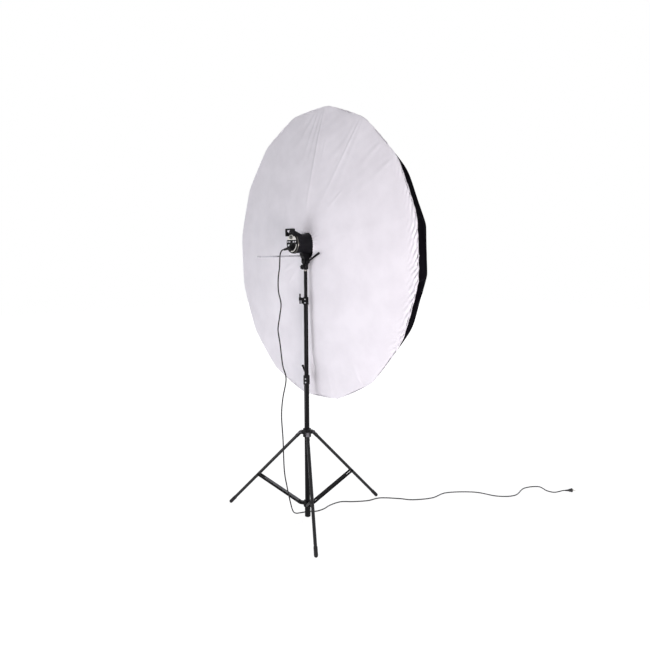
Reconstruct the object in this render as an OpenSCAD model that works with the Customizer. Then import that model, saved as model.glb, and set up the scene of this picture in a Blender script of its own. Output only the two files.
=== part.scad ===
// Umbrella reflector with front diffuser, flash head, light stand and mains cord.
// Millimetres. Z is up, the floor is Z = 0 and the stand axis is X = Y = 0.
// The umbrella shaft lies along Y: the diffuser faces -Y and the crown is at +Y.

/* [Stand] */
// Outer radius of the lowest column tube
column_r = 15; // [12:0.5:18]
// Top of the lowest column tube
column_top = 838; // [700:1:950]
// Outer radius of the middle tube
middle_r = 12.5; // [10:0.5:14]
// Top of the middle tube
middle_top = 1294; // [1100:1:1400]
// Outer radius of the top tube
upper_r = 10; // [8:0.5:12]
// Shoulder of the top tube, where its spigot starts
upper_top = 1470; // [1350:1:1600]
// Radius of the spigot that carries the head
spigot_r = 8; // [6:0.5:9.5]
// Wall of every tube
tube_wall = 1.5; // [1:0.1:2.5]

/* [Legs] */
// Compass turn of the first leg, counted from the diffuser side
leg_turn = 58.5; // [0:0.5:120]
// Radius from the stand axis to a foot
foot_r = 534; // [400:1:650]
// Height of the leg pivots
leg_pivot_z = 513; // [400:1:600]
// Radius of the leg pivots
leg_pivot_r = 41; // [36:1:50]
// Outer radius of a leg tube
leg_tube_r = 9.5; // [7:0.5:11]
// Radius of a rubber foot
foot_cap_r = 11; // [9:0.5:14]
// Height of the brace pivots on the lower collar
brace_pivot_z = 81; // [70:1:120]
// Radius of the brace pivots on the lower collar
brace_pivot_r = 46; // [40:1:55]
// Place of the brace joint along a leg, as a share of its length
brace_share = 0.59; // [0.5:0.01:0.7]
// Radius of every pivot pin on the stand
pin_r = 3; // [2:0.25:4]

/* [Head] */
// Height of the tilt axis
tilt_z = 1515; // [1490:1:1540]
// Height of the umbrella shaft
shaft_z = 1546; // [1535:1:1560]
// Height of the flash axis
flash_z = 1616; // [1610:1:1640]
// Rear end of the flash housing
flash_rear = -90; // [-120:1:-75]
// Front end of the flash housing
flash_front_y = 40; // [30:1:60]
// Outer radius of the rear ring of the housing
rear_ring_r = 56; // [50:0.5:60]
// Outer radius of the flash barrel
barrel_r = 53; // [45:0.5:56]
// Outer radius of the flared front of the barrel
flare_r = 61; // [56:0.5:62]

/* [Umbrella] */
// Number of ribs
rib_count = 16; // [8:2:16]
// Turn of the first rib from the horizontal
rib_phase = 14; // [0:0.5:22]
// Radius from the shaft to the rib tips
rim_r = 825; // [500:5:900]
// Depth of the canopy from rim to apex
canopy_depth = 520; // [400:5:560]
// Distance of the rim plane behind the stand axis
rim_y = 73; // [40:1:150]
// Front end of the shaft
shaft_front = -318; // [-400:1:-100]
// Radius of the shaft
shaft_r = 4; // [3.5:0.25:5]
// Radius of a rib rod
rib_r = 2.2; // [1.5:0.1:3]
// Radius of a stretcher rod
stretcher_r = 1.8; // [1.2:0.1:2.5]
// Arc from a rib pivot to its stretcher joint
joint_arc = 300; // [200:5:450]
// Length of a stretcher between its joints
stretcher_len = 315; // [250:1:500]
// Cloth thickness of canopy and diffuser
cloth = 0.6; // [0.4:0.1:2]
// Radius of the opening in the diffuser, round the flash axis
opening_r = 63; // [62:1:80]
// How much further down the opening reaches, past the shaft
opening_drop = 19; // [18:1:40]
// Distance of the opening's sides behind the stand axis
opening_y = 14; // [8:1:20]
// How much further back the top and the bottom of the opening lie
opening_lean = 16; // [14:1:24]
// Share by which the cloth falls in between two ribs
gore_sag = 0.016; // [0.01:0.001:0.03]

/* [Cord] */
// Radius of the mains cord
cord_r = 3.6; // [2.5:0.1:4.5]
// Radius of the widest part of the plug
plug_r = 13; // [10:0.5:18]

/* [Hidden] */
$fn = 48;
run_gap = 0.05;
slip_gap = 0.2;
joint_gap = 0.3;

satin_black = [0.05, 0.05, 0.06];
rubber_black = [0.08, 0.08, 0.08];
bright_steel = [0.7, 0.7, 0.72];
white_cloth = [0.93, 0.92, 0.94];

// Legs: lean from the vertical and length, measured to the centre of the foot
leg_run = foot_r - leg_pivot_r;
leg_drop = leg_pivot_z - foot_cap_r;
leg_len = sqrt(leg_run * leg_run + leg_drop * leg_drop);
leg_lean = atan2(leg_run, leg_drop);
leg_eye_r = 9;
leg_eye_w = 12;
spider_low = leg_pivot_z - 24;
spider_high = leg_pivot_z + 24;
collar_r = 24;
cheek_w = 5;
cheek_at = leg_eye_w / 2 + joint_gap + cheek_w / 2;
leg_cap_len = 26;
foot_len = 46;

// Braces: U channels that straddle the leg tubes
brace_x = leg_pivot_r + leg_run * brace_share - brace_pivot_r;
brace_z = leg_pivot_z - leg_drop * brace_share - brace_pivot_z;
brace_len = sqrt(brace_x * brace_x + brace_z * brace_z);
brace_rise = atan2(brace_z, brace_x);
channel_wall = 2;
channel_in = 22;
channel_h = 14;
web_cut = 48;
brace_eye_w = 20;

// Column foot and clamps
plug_top = 58;
foot_plug_r = 17;
collar_low = 64;
collar_high = 98;
clamp_r = 18.5;
lower_clamp_low = 803;
lower_clamp_high = 856;
upper_clamp_low = 1268;
upper_clamp_high = 1312;
upper_clamp_r = 16;
screw_r = 3;
lower_knob_turn = 234;
upper_knob_turn = 330;
spider_knob_turn = 238.5;
screw_turn = 40;
lower_knob_z = 838;
upper_knob_z = 1290;
knob_hub_r = 9;
riser_low = 520;

// Spigot socket and tilt bracket
socket_low = 1470.3;
socket_high = 1497;
socket_r = 16;
tongue_half = 8;
tongue_r = 16;
yoke_half = 16;
yoke_cheek_r = 17;
yoke_low = 1531.6;
yoke_high = 34;
yoke_slope = 15;
yoke_rear = -28;
yoke_front = 30;
spigot_knob_z = 1484;
spigot_knob_turn = 18;
lever_len = 104;
lever_angle = 82;
lever_lean = 27;
lever_hub_r = 12;
lever_root_r = 5;
lever_end_r = 6.8;

// Flash head
housing_wall = 2.5;
rear_ring_len = 15;
flare_start = -38;
flare_end = 28;
bowl_r = flare_r - housing_wall;
panel_r = 52;
panel_face = flash_rear - 3;
dial_z = flash_z + 36;
plate_low = 20.5;
button_row = 10.5;
inlet_z = flash_z - 22;
relief_drop = 14;
relief_len = 46;
relief_start = panel_face - 9;
handle_rear = flash_rear - 20;
handle_front = flash_rear - 10;
handle_half = 42;
handle_top = 84;
foot_base = 36;
fin_base = 44;
fin_front = flash_rear + 46;

// Umbrella: the canopy follows a sphere that passes through the rim and the apex
ball_r = (rim_r * rim_r + canopy_depth * canopy_depth) / (2 * canopy_depth);
ball_y = rim_y + canopy_depth - ball_r;
rim_angle = asin(rim_r / ball_r);
skin_in = ball_r;
skin_out = ball_r + cloth;
rib_gap = 2.4;
rib_ball = ball_r - rib_r - rib_gap;
rib_pivot_r = 18;
rib_start = asin(rib_pivot_r / rib_ball);
rib_pivot_y = ball_y + rib_ball * cos(rib_start);
rib_end = rim_angle - 0.35;
rod_start = asin(25.5 / rib_ball);
tongue_len = 10;
joint_angle = rib_start + joint_arc / rib_ball * 180 / PI;
joint_r = rib_ball * sin(joint_angle);
joint_y = ball_y + rib_ball * cos(joint_angle);
runner_pivot_r = 17;
runner_run = joint_r - runner_pivot_r;
runner_y = joint_y - sqrt(stretcher_len * stretcher_len - runner_run * runner_run);
stretcher_rise = atan2(joint_y - runner_y, runner_run);
joint_side = 5.2;
joint_eye_r = 2.6;
eye_w = 3;
slot_w = 3.8;
eye_r = 3.2;
wire_r = 0.6;
crown_r = 23;
crown_low = rib_pivot_y - 6;
crown_high = ball_y + sqrt(ball_r * ball_r - crown_r * crown_r) - 0.4;
hub_hole = 9;
nose_end = ball_y + ball_r + 34;
gore_steps = 4;
sides = rib_count * gore_steps;
canopy_rings = 14;
cover_rings = 5;
hem_back = 0.8;
hem_gap = 0.5;

hub_angle = asin(hub_hole / skin_in);
// Polar angle of canopy ring k, from the hole at the crown to the rim
function ring_angle(k) = hub_angle + (rim_angle - hub_angle) * k / (canopy_rings - 1);
// Share of the rib radius that the cloth keeps at side number i: a taut chord from rib to rib
function gore_off(i) = abs((i / gore_steps + 0.5) % 1 - 0.5);
function gore_keep(i) = 1 - gore_sag * (1 - pow(1 - 2 * gore_off(i), 2));
function side_angle(i) = rib_phase + 360 * i / sides;
// A point on the cloth at a polar angle from the crown, on a sphere of radius q
function cloth_point(i, a, q) =
  let (r = q * sin(a) * gore_keep(i))
  [r * cos(side_angle(i)), ball_y + q * cos(a), shaft_z + r * sin(side_angle(i))];
// The egg shaped opening round the flash and the shaft: reach from the flash axis, and place along Y
function opening_reach(c) = opening_r + opening_drop * pow(max(0, -sin(c)), 3);
function opening_back(c) = opening_y + opening_lean * pow(sin(c), 2);
// A point of the front cover, from the rim (t = 0) to its opening (t = 1)
function cover_point(i, t, y_back) =
  let (r = (rim_r + 0.8) * gore_keep(i), c = side_angle(i), q = opening_reach(c))
  [((1 - t) * r + t * q) * cos(c),
   (1 - t) * (rim_y - 1.2) + t * opening_back(c) + y_back,
   shaft_z + t * (flash_z - shaft_z) + ((1 - t) * r + t * q) * sin(c)];
// Faces of a closed band: rows of points, each row a ring of n points, first row joined to the last
function band_faces(rows, n) = [for (k = [0 : rows - 1]) for (i = [0 : n - 1])
  let (j = (i + 1) % n, m = (k + 1) % rows)
  each [[k * n + i, k * n + j, m * n + j], [k * n + i, m * n + j, m * n + i]]];

// Cord route: from the relief on the flash down to the floor, round the column foot and out to the plug
relief_dir = [0, -cos(relief_drop), -sin(relief_drop)];
cord_start = [0, relief_start, inlet_z] + (relief_len + 0.6) * relief_dir;
floor_z = cord_r + 0.2;
cord_route = concat([cord_start, cord_start + 14 * relief_dir],
  [[9, -178, 1560], [14, -185, 1530], [14, -188, 1485], [8, -193, 1425], [2, -189, 1355], [2, -173, 1280],
   [0, -182, 1210], [0, -194, 1138], [0, -182, 1060], [0, -166, 935], [0, -144, 850], [0, -168, 740],
   [0, -178, 640], [0, -170, 500], [0, -164, 320],
   [0, -146, 215], [-8, -118, 110], [-30, -86, 45], [-54, -48, 14], [-62, -6, floor_z],
   [-48, 42, floor_z], [-22, 82, floor_z], [-24, 140, floor_z], [-46, 206, floor_z],
   [-48, 290, floor_z], [0, 356, floor_z], [44, 440, floor_z], [58, 530, floor_z],
   [140, 616, floor_z], [208, 670, floor_z], [262, 790, floor_z], [258, 930, floor_z],
   [364, 1080, floor_z], [500, 1140, floor_z], [560, 1240, floor_z], [520, 1390, floor_z],
   [560, 1490, floor_z], [640, 1470, floor_z], [690, 1480, 6], [716, 1530, plug_r]]);
plug_dir = [0.5, 0.866, 0];
plug_at = [716, 1530, plug_r] + 18 * plug_dir;
cord_points = concat(cord_route, [plug_at - 1 * plug_dir]);
cord_sides = 8;
cord_steps = 2;
function curve_point(p, t) =
  let (n = len(p) - 1, k = min(floor(t), n - 1), f = t - k,
    a = p[max(k - 1, 0)], b = p[k], c = p[k + 1], d = p[min(k + 2, n)])
  0.5 * (2 * b + (c - a) * f + (2 * a - 5 * b + 4 * c - d) * f * f + (3 * b - a - 3 * c + d) * f * f * f);
cord_rings = cord_steps * (len(cord_points) - 1);
function unit(v) = v / norm(v);
function cord_at(k) = curve_point(cord_points, k / cord_steps);
function cord_dir(k) = unit(cord_at(min(k + 0.1, cord_rings)) - cord_at(max(k - 0.1, 0)));
// The sideways reference turns from X to Z while the cord comes down to the floor
function cord_ref(k) = let (w = min(1, max(0, (200 - cord_at(k)[2]) / 180))) [1 - w, 0, w];
function cord_side(k) = unit(cross(cord_dir(k), cord_ref(k)));

// Turns +X to a compass angle counted from -Y towards +X
module face(a) rotate([0, 0, a - 90]) children();
// A rod along Y at a height
module rod_y(r, y0, y1, z) translate([0, y0, z]) rotate([-90, 0, 0]) cylinder(h = y1 - y0, r = r);
// A rod along X
module rod_x(r, x0, x1) translate([x0, 0, 0]) rotate([0, 90, 0]) cylinder(h = x1 - x0, r = r);
// A solid of revolution about the flash axis, from pairs of radius and Y
module round_y(p, z) translate([0, 0, z]) rotate([-90, 0, 0]) rotate_extrude($fn = 96) polygon(p);
module tube(r, z0, z1) translate([0, 0, z0]) difference() {
  cylinder(h = z1 - z0, r = r);
  translate([0, 0, -1]) cylinder(h = z1 - z0 + 2, r = r - tube_wall);
}

// Collar near the floor, with a riveted tongue for each brace
module brace_collar() {
  translate([0, 0, collar_low]) cylinder(h = collar_high - collar_low, r = collar_r);
  for (k = [0 : 2]) face(leg_turn + 120 * k) {
    translate([column_r + 3, -brace_eye_w / 2, brace_pivot_z - leg_eye_r])
      cube([brace_pivot_r - column_r - 3, brace_eye_w, 2 * leg_eye_r]);
    translate([brace_pivot_r, 0, brace_pivot_z]) rotate([90, 0, 0])
      cylinder(h = brace_eye_w, r = leg_eye_r, center = true);
    translate([brace_pivot_r, 0, brace_pivot_z]) rotate([90, 0, 0])
      cylinder(h = channel_in + 2 * channel_wall + 4, r = pin_r, center = true);
    for (s = [-1, 1]) translate([brace_pivot_r, s * (channel_in / 2 + channel_wall + 1.6), brace_pivot_z])
      rotate([90, 0, 0]) cylinder(h = 2, r = 5, center = true);
  }
}

// Outside of a clamp: body with a chamfered top, a boss for its knob and two screw pads
module clamp_body(r, low, high, knob_turn, boss, pad, screw_z) {
  translate([0, 0, low]) cylinder(h = high - 4 - low, r = r);
  translate([0, 0, high - 4.01]) cylinder(h = 4.01, r1 = r, r2 = r - 3);
  face(knob_turn) translate([r - 4, -boss[1] / 2, boss[2]]) cube([boss[0], boss[1], boss[3]]);
  face(screw_turn) for (z = screw_z) {
    translate([r - 2, -pad / 2, z - pad / 2]) cube([5, pad, pad]);
    translate([r, 0, z]) rotate([0, 90, 0]) cylinder(h = 5.5, r = pad / 3);
  }
}
// Hole for a knob's screw, along +X of its turn
module screw_hole(turn, z) face(turn) translate([0, 0, z]) rotate([0, 90, 0])
  cylinder(h = 60, r = screw_r + run_gap);

// Lowest tube: end plug that stands on the floor, brace collar, and the clamp at its top
module column() color(satin_black) difference() {
  union() {
    translate([0, 0, 2]) cylinder(h = column_top - 2, r = column_r);
    translate([0, 0, 3]) cylinder(h = plug_top - 3, r = foot_plug_r);
    cylinder(h = 3.01, r1 = foot_plug_r - 3, r2 = foot_plug_r);
    brace_collar();
    clamp_body(clamp_r, lower_clamp_low, lower_clamp_high, lower_knob_turn,
      [15, 18, lower_clamp_low + 8, 40], 12, [lower_clamp_low + 14, lower_clamp_low + 34]);
  }
  translate([0, 0, plug_top]) cylinder(h = column_top - plug_top, r = column_r - tube_wall);
  translate([0, 0, column_top - 0.01]) cylinder(h = 80, r = middle_r + run_gap);
  screw_hole(lower_knob_turn, lower_knob_z + 8);
}

// Long lever of the lower clamp: hub, blade and screw in one moulding
module lower_clamp_knob() color(satin_black) face(lower_knob_turn) translate([0, 0, lower_knob_z + 8]) {
  translate([middle_r + 0.6, 0, 0]) rotate([0, 90, 0]) cylinder(h = 20, r = screw_r);
  translate([column_r + 15.4, 0, 0]) rotate([0, 90, 0]) cylinder(h = 14, r = knob_hub_r);
  translate([column_r + 19, 0, 0]) rotate([-20, 0, 0]) {
    translate([0, -5, 0]) cube([8, 10, 62]);
    translate([0, 0, 62]) rotate([0, 90, 0]) cylinder(h = 8, r = 7);
  }
}

// Sliding collar that carries the legs between pairs of cheeks
module leg_spider() color(satin_black) {
  difference() {
    union() {
      translate([0, 0, spider_low]) cylinder(h = spider_high - spider_low, r = collar_r);
      for (k = [0 : 2]) face(leg_turn + 120 * k) {
        for (s = [-1, 1]) {
          translate([collar_r - 6, s * cheek_at - cheek_w / 2, leg_pivot_z - 10])
            cube([leg_pivot_r - collar_r + 6, cheek_w, 20]);
          translate([leg_pivot_r, s * cheek_at, leg_pivot_z]) rotate([90, 0, 0])
            cylinder(h = cheek_w, r = 10, center = true);
          translate([leg_pivot_r, s * (cheek_at + cheek_w / 2 + 0.9), leg_pivot_z]) rotate([90, 0, 0])
            cylinder(h = 2, r = 5, center = true);
        }
        translate([leg_pivot_r, 0, leg_pivot_z]) rotate([90, 0, 0])
          cylinder(h = leg_eye_w + 2 * cheek_w, r = pin_r, center = true);
      }
      face(spider_knob_turn) translate([column_r + 2, 0, leg_pivot_z]) rotate([0, 90, 0])
        cylinder(h = 18, r = 10);
    }
    translate([0, 0, spider_low - 1]) cylinder(h = spider_high, r = column_r + run_gap);
    face(spider_knob_turn) translate([column_r - 2, 0, leg_pivot_z]) rotate([0, 90, 0])
      cylinder(h = 40, r = screw_r + run_gap);
  }
}

// Lobed knob on a screw, along +X from its seat
module star_knob(screw_in, seat, r, h, lobes) {
  translate([screw_in, 0, 0]) rotate([0, 90, 0]) cylinder(h = seat - screw_in + 1, r = screw_r);
  difference() {
    translate([seat, 0, 0]) rotate([0, 90, 0]) cylinder(h = h, r = r);
    for (k = [0 : lobes - 1]) rotate([360 * k / lobes, 0, 0]) translate([seat - 1, 0, r * 1.18])
      rotate([0, 90, 0]) cylinder(h = h + 2, r = r * 0.36, $fn = 24);
  }
}
module spider_knob() color(satin_black) face(spider_knob_turn) translate([0, 0, leg_pivot_z])
  star_knob(column_r + 0.6, column_r + 20.4, 16, 16, 6);

// Leg: pivot eye and cap at the top, tube, rubber foot with a round end
module leg(k) color(satin_black) face(leg_turn + 120 * k) translate([leg_pivot_r, 0, leg_pivot_z])
  rotate([0, -leg_lean, 0]) {
    difference() {
      union() {
        rotate([90, 0, 0]) cylinder(h = leg_eye_w, r = leg_eye_r, center = true);
        translate([-leg_eye_r, -leg_eye_w / 2, -14]) cube([2 * leg_eye_r, leg_eye_w, 14]);
        translate([0, 0, -14 - leg_cap_len]) cylinder(h = leg_cap_len + 2, r = leg_tube_r + 1.4);
        translate([0, 0, -leg_len + 8]) cylinder(h = leg_len - 28, r = leg_tube_r);
        translate([0, 0, -leg_len]) cylinder(h = foot_len, r = foot_cap_r);
        translate([0, 0, -leg_len]) sphere(r = foot_cap_r);
      }
      rotate([90, 0, 0]) cylinder(h = 40, r = pin_r + run_gap, center = true);
      translate([0, 0, -leg_len + 20]) cylinder(h = leg_len - 60, r = leg_tube_r - tube_wall);
    }
  }

// Brace: folded U channel, its web cut back where the leg passes between the cheeks
module brace(k) color(satin_black) face(leg_turn + 120 * k) translate([brace_pivot_r, 0, brace_pivot_z])
  rotate([0, -brace_rise, 0]) {
    difference() {
      union() {
        for (s = [-1, 1]) {
          translate([0, s * (channel_in + channel_wall) / 2 - channel_wall / 2, -channel_h / 2])
            cube([brace_len, channel_wall, channel_h]);
          for (x = [0, brace_len]) translate([x, s * (channel_in + channel_wall) / 2, 0]) rotate([90, 0, 0])
            cylinder(h = channel_wall, r = channel_h / 2, center = true);
          translate([brace_len, s * (channel_in / 2 + channel_wall + 0.8), 0]) rotate([90, 0, 0])
            cylinder(h = 1.8, r = 5, center = true);
        }
        translate([16, -channel_in / 2 - 0.5, channel_h / 2 - channel_wall])
          cube([brace_len - web_cut - 16, channel_in + 1, channel_wall]);
      }
      rotate([90, 0, 0]) cylinder(h = 40, r = pin_r + run_gap, center = true);
    }
  }

// Middle tube, which slides in the column, with the clamp on its top
module lower_riser() color(satin_black) difference() {
  union() {
    translate([0, 0, riser_low]) cylinder(h = middle_top - riser_low, r = middle_r);
    clamp_body(upper_clamp_r, upper_clamp_low, upper_clamp_high, upper_knob_turn,
      [13.5, 16, upper_knob_z - 16, 34], 11, [upper_knob_z - 10, upper_knob_z + 10]);
  }
  translate([0, 0, riser_low - 1]) cylinder(h = middle_top - riser_low + 1, r = middle_r - tube_wall);
  translate([0, 0, middle_top - 0.01]) cylinder(h = 80, r = upper_r + run_gap);
  screw_hole(upper_knob_turn, upper_knob_z + 12);
}
// Wing knob of the upper clamp, its two lobes upright
module upper_clamp_knob() color(satin_black) face(upper_knob_turn) translate([0, 0, upper_knob_z + 12]) {
  translate([upper_r + 0.6, 0, 0]) rotate([0, 90, 0]) cylinder(h = 18, r = screw_r);
  translate([middle_r + 13.4, 0, 0]) rotate([0, 90, 0]) cylinder(h = 14, r = knob_hub_r);
  for (s = [-1, 1]) translate([middle_r + 17, 0, s * 15]) {
    translate([0, -4, -8]) cube([8, 8, 16]);
    translate([0, 0, s * 8]) rotate([0, 90, 0]) cylinder(h = 8, r = 6);
  }
}

// Top tube with its solid spigot
module upper_riser() color(satin_black) {
  tube(upper_r, 880, upper_top - 20);
  translate([0, 0, upper_top - 20.01]) cylinder(h = 16.02, r = upper_r);
  translate([0, 0, upper_top - 4]) cylinder(h = 4.01, r1 = upper_r, r2 = spigot_r + 0.5);
  translate([0, 0, upper_top]) cylinder(h = 22, r = spigot_r);
  translate([0, 0, upper_top + 21.99]) cylinder(h = 2, r1 = spigot_r, r2 = spigot_r - 1.5);
}

// Socket that turns on the spigot, with the tongue of the tilt joint on top
module spigot_socket() color(satin_black) {
  difference() {
    union() {
      translate([0, 0, socket_low]) cylinder(h = 3, r1 = socket_r - 2, r2 = socket_r);
      translate([0, 0, socket_low + 2.99]) cylinder(h = socket_high - socket_low - 2.99, r = socket_r);
      translate([-tongue_half, -tongue_r, socket_high - 1])
        cube([2 * tongue_half, 2 * tongue_r, tilt_z - socket_high + 1]);
      translate([0, 0, tilt_z]) rod_x(tongue_r, -tongue_half, tongue_half);
      face(spigot_knob_turn) translate([socket_r - 5, 0, spigot_knob_z]) rotate([0, 90, 0])
        cylinder(h = 10, r = 8);
    }
    translate([0, 0, socket_low - 1]) cylinder(h = upper_top + 25 - socket_low, r = spigot_r + run_gap);
    translate([0, 0, tilt_z]) rod_x(4 + run_gap, -40, 40);
    screw_hole(spigot_knob_turn, spigot_knob_z);
  }
}
module spigot_knob() color(satin_black) face(spigot_knob_turn) translate([0, 0, spigot_knob_z])
  star_knob(spigot_r + 0.6, socket_r + 5.4, 14, 13, 7);

// Outline of the flash barrel, swept round its axis
barrel_line = [[panel_r + 0.5, flash_rear], [rear_ring_r - 1, flash_rear + 3], [rear_ring_r, flash_rear + 5],
  [rear_ring_r, flash_rear + rear_ring_len], [barrel_r, flash_rear + rear_ring_len + 3],
  [barrel_r, flare_start], [flare_r, flare_end], [flare_r, flash_front_y]];

// Fork that tilts on the socket, carries the umbrella shaft and cradles the flash
module tilt_yoke() color(satin_black) {
  difference() {
    union() {
      for (s = [-1, 1]) {
        translate([0, 0, tilt_z]) rod_x(yoke_cheek_r, min(s * (tongue_half + slip_gap), s * yoke_half),
          max(s * (tongue_half + slip_gap), s * yoke_half));
        translate([min(s * (tongue_half + slip_gap), s * yoke_half), -yoke_cheek_r, tilt_z])
          cube([yoke_half - tongue_half - slip_gap, 2 * yoke_cheek_r, yoke_low - tilt_z + 1]);
      }
      translate([-yoke_half, 0, yoke_low]) rotate([90, 0, 90]) linear_extrude(2 * yoke_half)
        polygon([[-yoke_cheek_r, 0], [yoke_cheek_r, 0], [yoke_front, yoke_slope], [yoke_front, yoke_high],
          [yoke_rear, yoke_high], [yoke_rear, yoke_slope]]);
      translate([0, 0, tilt_z]) rod_x(4, -yoke_half + 1, yoke_half - 1);
      translate([0, 0, shaft_z]) rod_x(8, -yoke_half - 5, -yoke_half + 1);
    }
    rod_y(shaft_r + run_gap, -60, 60, shaft_z);
    translate([0, 0, shaft_z]) rod_x(screw_r + run_gap, -40, 0);
    round_y(concat([[0, flash_rear]], [for (p = barrel_line) p + [0.1, 0]], [[0, flash_front_y]]), flash_z);
  }
}

// Lever of the tilt joint: a hub on the tilt axis and an arm that leans outwards to a round end
module tilt_lever() color(satin_black) translate([0, 0, tilt_z]) {
  rod_x(lever_hub_r, yoke_half + 0.3, yoke_half + 11);
  translate([yoke_half + 10.99, 0, 0]) rotate([0, 90, 0])
    cylinder(h = 4, r1 = lever_hub_r, r2 = lever_hub_r - 4);
  rotate([lever_angle, 0, 0]) translate([yoke_half + 8, 0, 0]) rotate([0, 0, lever_lean]) {
    rotate([0, 90, 0]) cylinder(h = lever_len, r1 = lever_root_r, r2 = lever_end_r);
    translate([lever_len, 0, 0]) sphere(r = lever_end_r);
  }
}

// Knob that locks the umbrella shaft
module umbrella_knob() color(satin_black) translate([0, 0, shaft_z]) rotate([0, 0, 180])
  star_knob(shaft_r + 0.6, yoke_half + 5.4, 11, 14, 6);

// Flash housing: a shell with a stepped rear ring and a flared front that holds the bowl and the domed cover
module flash_housing() color(satin_black) {
  round_y(concat(barrel_line, [[flare_r - housing_wall, flash_front_y],
    [barrel_r - housing_wall, flare_start], [barrel_r - housing_wall, flash_rear + 8],
    [panel_r + 0.1, flash_rear + 8], [panel_r + 0.1, flash_rear]]), flash_z);
  round_y([[0, -10], [bowl_r - 4, -10], [bowl_r - 3.6, flash_front_y - 4], [bowl_r + 0.6, flash_front_y - 4],
    [bowl_r + 0.6, flash_front_y + 3], [46, flash_front_y + 3], [44, 4], [36, 4], [34, flash_front_y + 6],
    [26, flash_front_y + 17], [14, flash_front_y + 23], [0, flash_front_y + 25]], flash_z);
}

// Rear panel with its raised display plate, push buttons, mains inlet and cord relief
module rear_panel() color(satin_black) {
  difference() {
    union() {
      rod_y(panel_r, panel_face, flash_rear + 7.5, flash_z);
      intersection() {
        rod_y(panel_r - 2, panel_face - 1.5, panel_face + 1, flash_z);
        translate([-60, panel_face - 4, flash_z + plate_low]) cube([120, 10, 60]);
      }
      for (x = [-36, -18, 0, 18, 36]) rod_y_at(x, 4, panel_face - 2.5, panel_face + 1, flash_z + button_row);
      rod_y(17, panel_face - 9, panel_face + 1, inlet_z);
    }
    rod_y(5.2, panel_face - 20, panel_face - 1, dial_z);
  }
  translate([0, relief_start + 4, inlet_z + 2]) rotate([90 + relief_drop, 0, 0]) cylinder(h = 10, r = 9);
  translate([0, relief_start, inlet_z]) rotate([90 + relief_drop, 0, 0])
    cylinder(h = relief_len, r1 = 7.5, r2 = cord_r + 1.2);
}
module rod_y_at(x, r, y0, y1, z) translate([x, 0, 0]) rod_y(r, y0, y1, z);

// Power dial with grip flutes
module power_dial() color(satin_black) difference() {
  union() {
    rod_y(10, panel_face - 11, panel_face - 1.8, dial_z);
    rod_y(5, panel_face - 2, panel_face - 1.2, dial_z);
  }
  for (k = [0 : 11]) translate([0, panel_face - 12, dial_z]) rotate([0, 30 * k, 0]) translate([10.6, 0, 0])
    rotate([-90, 0, 0]) cylinder(h = 8, r = 1.6, $fn = 16);
}

// Outlines of the carry handle about the flash axis: the loop across the rear, its opening, and the fin
handle_outline = [[-handle_half + 5, handle_top], [handle_half - 5, handle_top], [handle_half, handle_top - 5],
  [handle_half - 4, foot_base], [-handle_half + 4, foot_base], [-handle_half, handle_top - 5]];
handle_opening = [[-handle_half + 12, handle_top - 9], [handle_half - 12, handle_top - 9],
  [handle_half - 9, handle_top - 12], [handle_half - 12, foot_base + 4], [-handle_half + 12, foot_base + 4],
  [-handle_half + 9, handle_top - 12]];
foot_side = [[handle_rear, foot_base], [handle_rear, foot_base + 26], [handle_front, foot_base + 30],
  [flash_rear + 12, foot_base + 8], [flash_rear + 12, foot_base]];
fin_face = [[-30, fin_base], [-5, handle_top - 3], [5, handle_top - 3], [30, fin_base]];
fin_side = [[handle_front - 0.5, fin_base], [handle_front - 0.5, handle_top - 1],
  [handle_front + 8, handle_top - 3], [fin_front, barrel_r - 1], [fin_front, fin_base]];

// Carry handle: a loop across the rear, with feet on the rear ring and a fin that runs down to the barrel
module carry_handle() color(satin_black) difference() {
  translate([0, 0, flash_z]) {
    translate([0, handle_front, 0]) rotate([90, 0, 0]) linear_extrude(handle_front - handle_rear) difference() {
      polygon(handle_outline);
      polygon(handle_opening);
    }
    for (s = [-1, 1]) translate([s * (handle_half - 8), 0, 0]) rotate([90, 0, 90])
      linear_extrude(8, center = true) polygon(foot_side);
    intersection() {
      rotate([90, 0, 0]) linear_extrude(120) polygon(fin_face);
      translate([-40, 0, 0]) rotate([90, 0, 90]) linear_extrude(80) polygon(fin_side);
    }
  }
  rod_y(rear_ring_r + 0.2, handle_rear - 1, flash_rear + rear_ring_len + 0.2, flash_z);
  round_y(concat([[0, flash_rear]], [for (p = barrel_line) p + [0.2, 0.2]], [[0, flash_front_y]]), flash_z);
}

// Umbrella shaft with its end cap, the slotted crown and the nose that holds the cloth
module umbrella_shaft() color(bright_steel) {
  rod_y(shaft_r, shaft_front + 3, crown_low + 2, shaft_z);
  rod_y(shaft_r + 1, shaft_front, shaft_front + 16, shaft_z);
  difference() {
    rod_y(crown_r, crown_low, crown_high, shaft_z);
    for (k = [0 : rib_count - 1]) at_rib(k) translate([11, crown_low - 1, -slot_w / 2])
      cube([crown_r, crown_high - crown_low + 2, slot_w]);
  }
  translate([0, rib_pivot_y, shaft_z]) rotate([90, 0, 0]) rotate_extrude($fn = 96)
    translate([rib_pivot_r, 0]) circle(r = wire_r, $fn = 16);
  rod_y(hub_hole - 1, crown_high - 1, nose_end - 8, shaft_z);
  rod_y(16, ball_y + skin_out + 0.3, ball_y + skin_out + 4, shaft_z);
  translate([0, nose_end - 8.01, shaft_z]) rotate([-90, 0, 0]) cylinder(h = 8, r1 = hub_hole - 1, r2 = 4);
}
// Turns the plane of local X and Y to rib k: X points outwards, Y along the shaft
module at_rib(k) translate([0, 0, shaft_z]) rotate([0, -rib_phase - 360 * k / rib_count, 0]) children();

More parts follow.
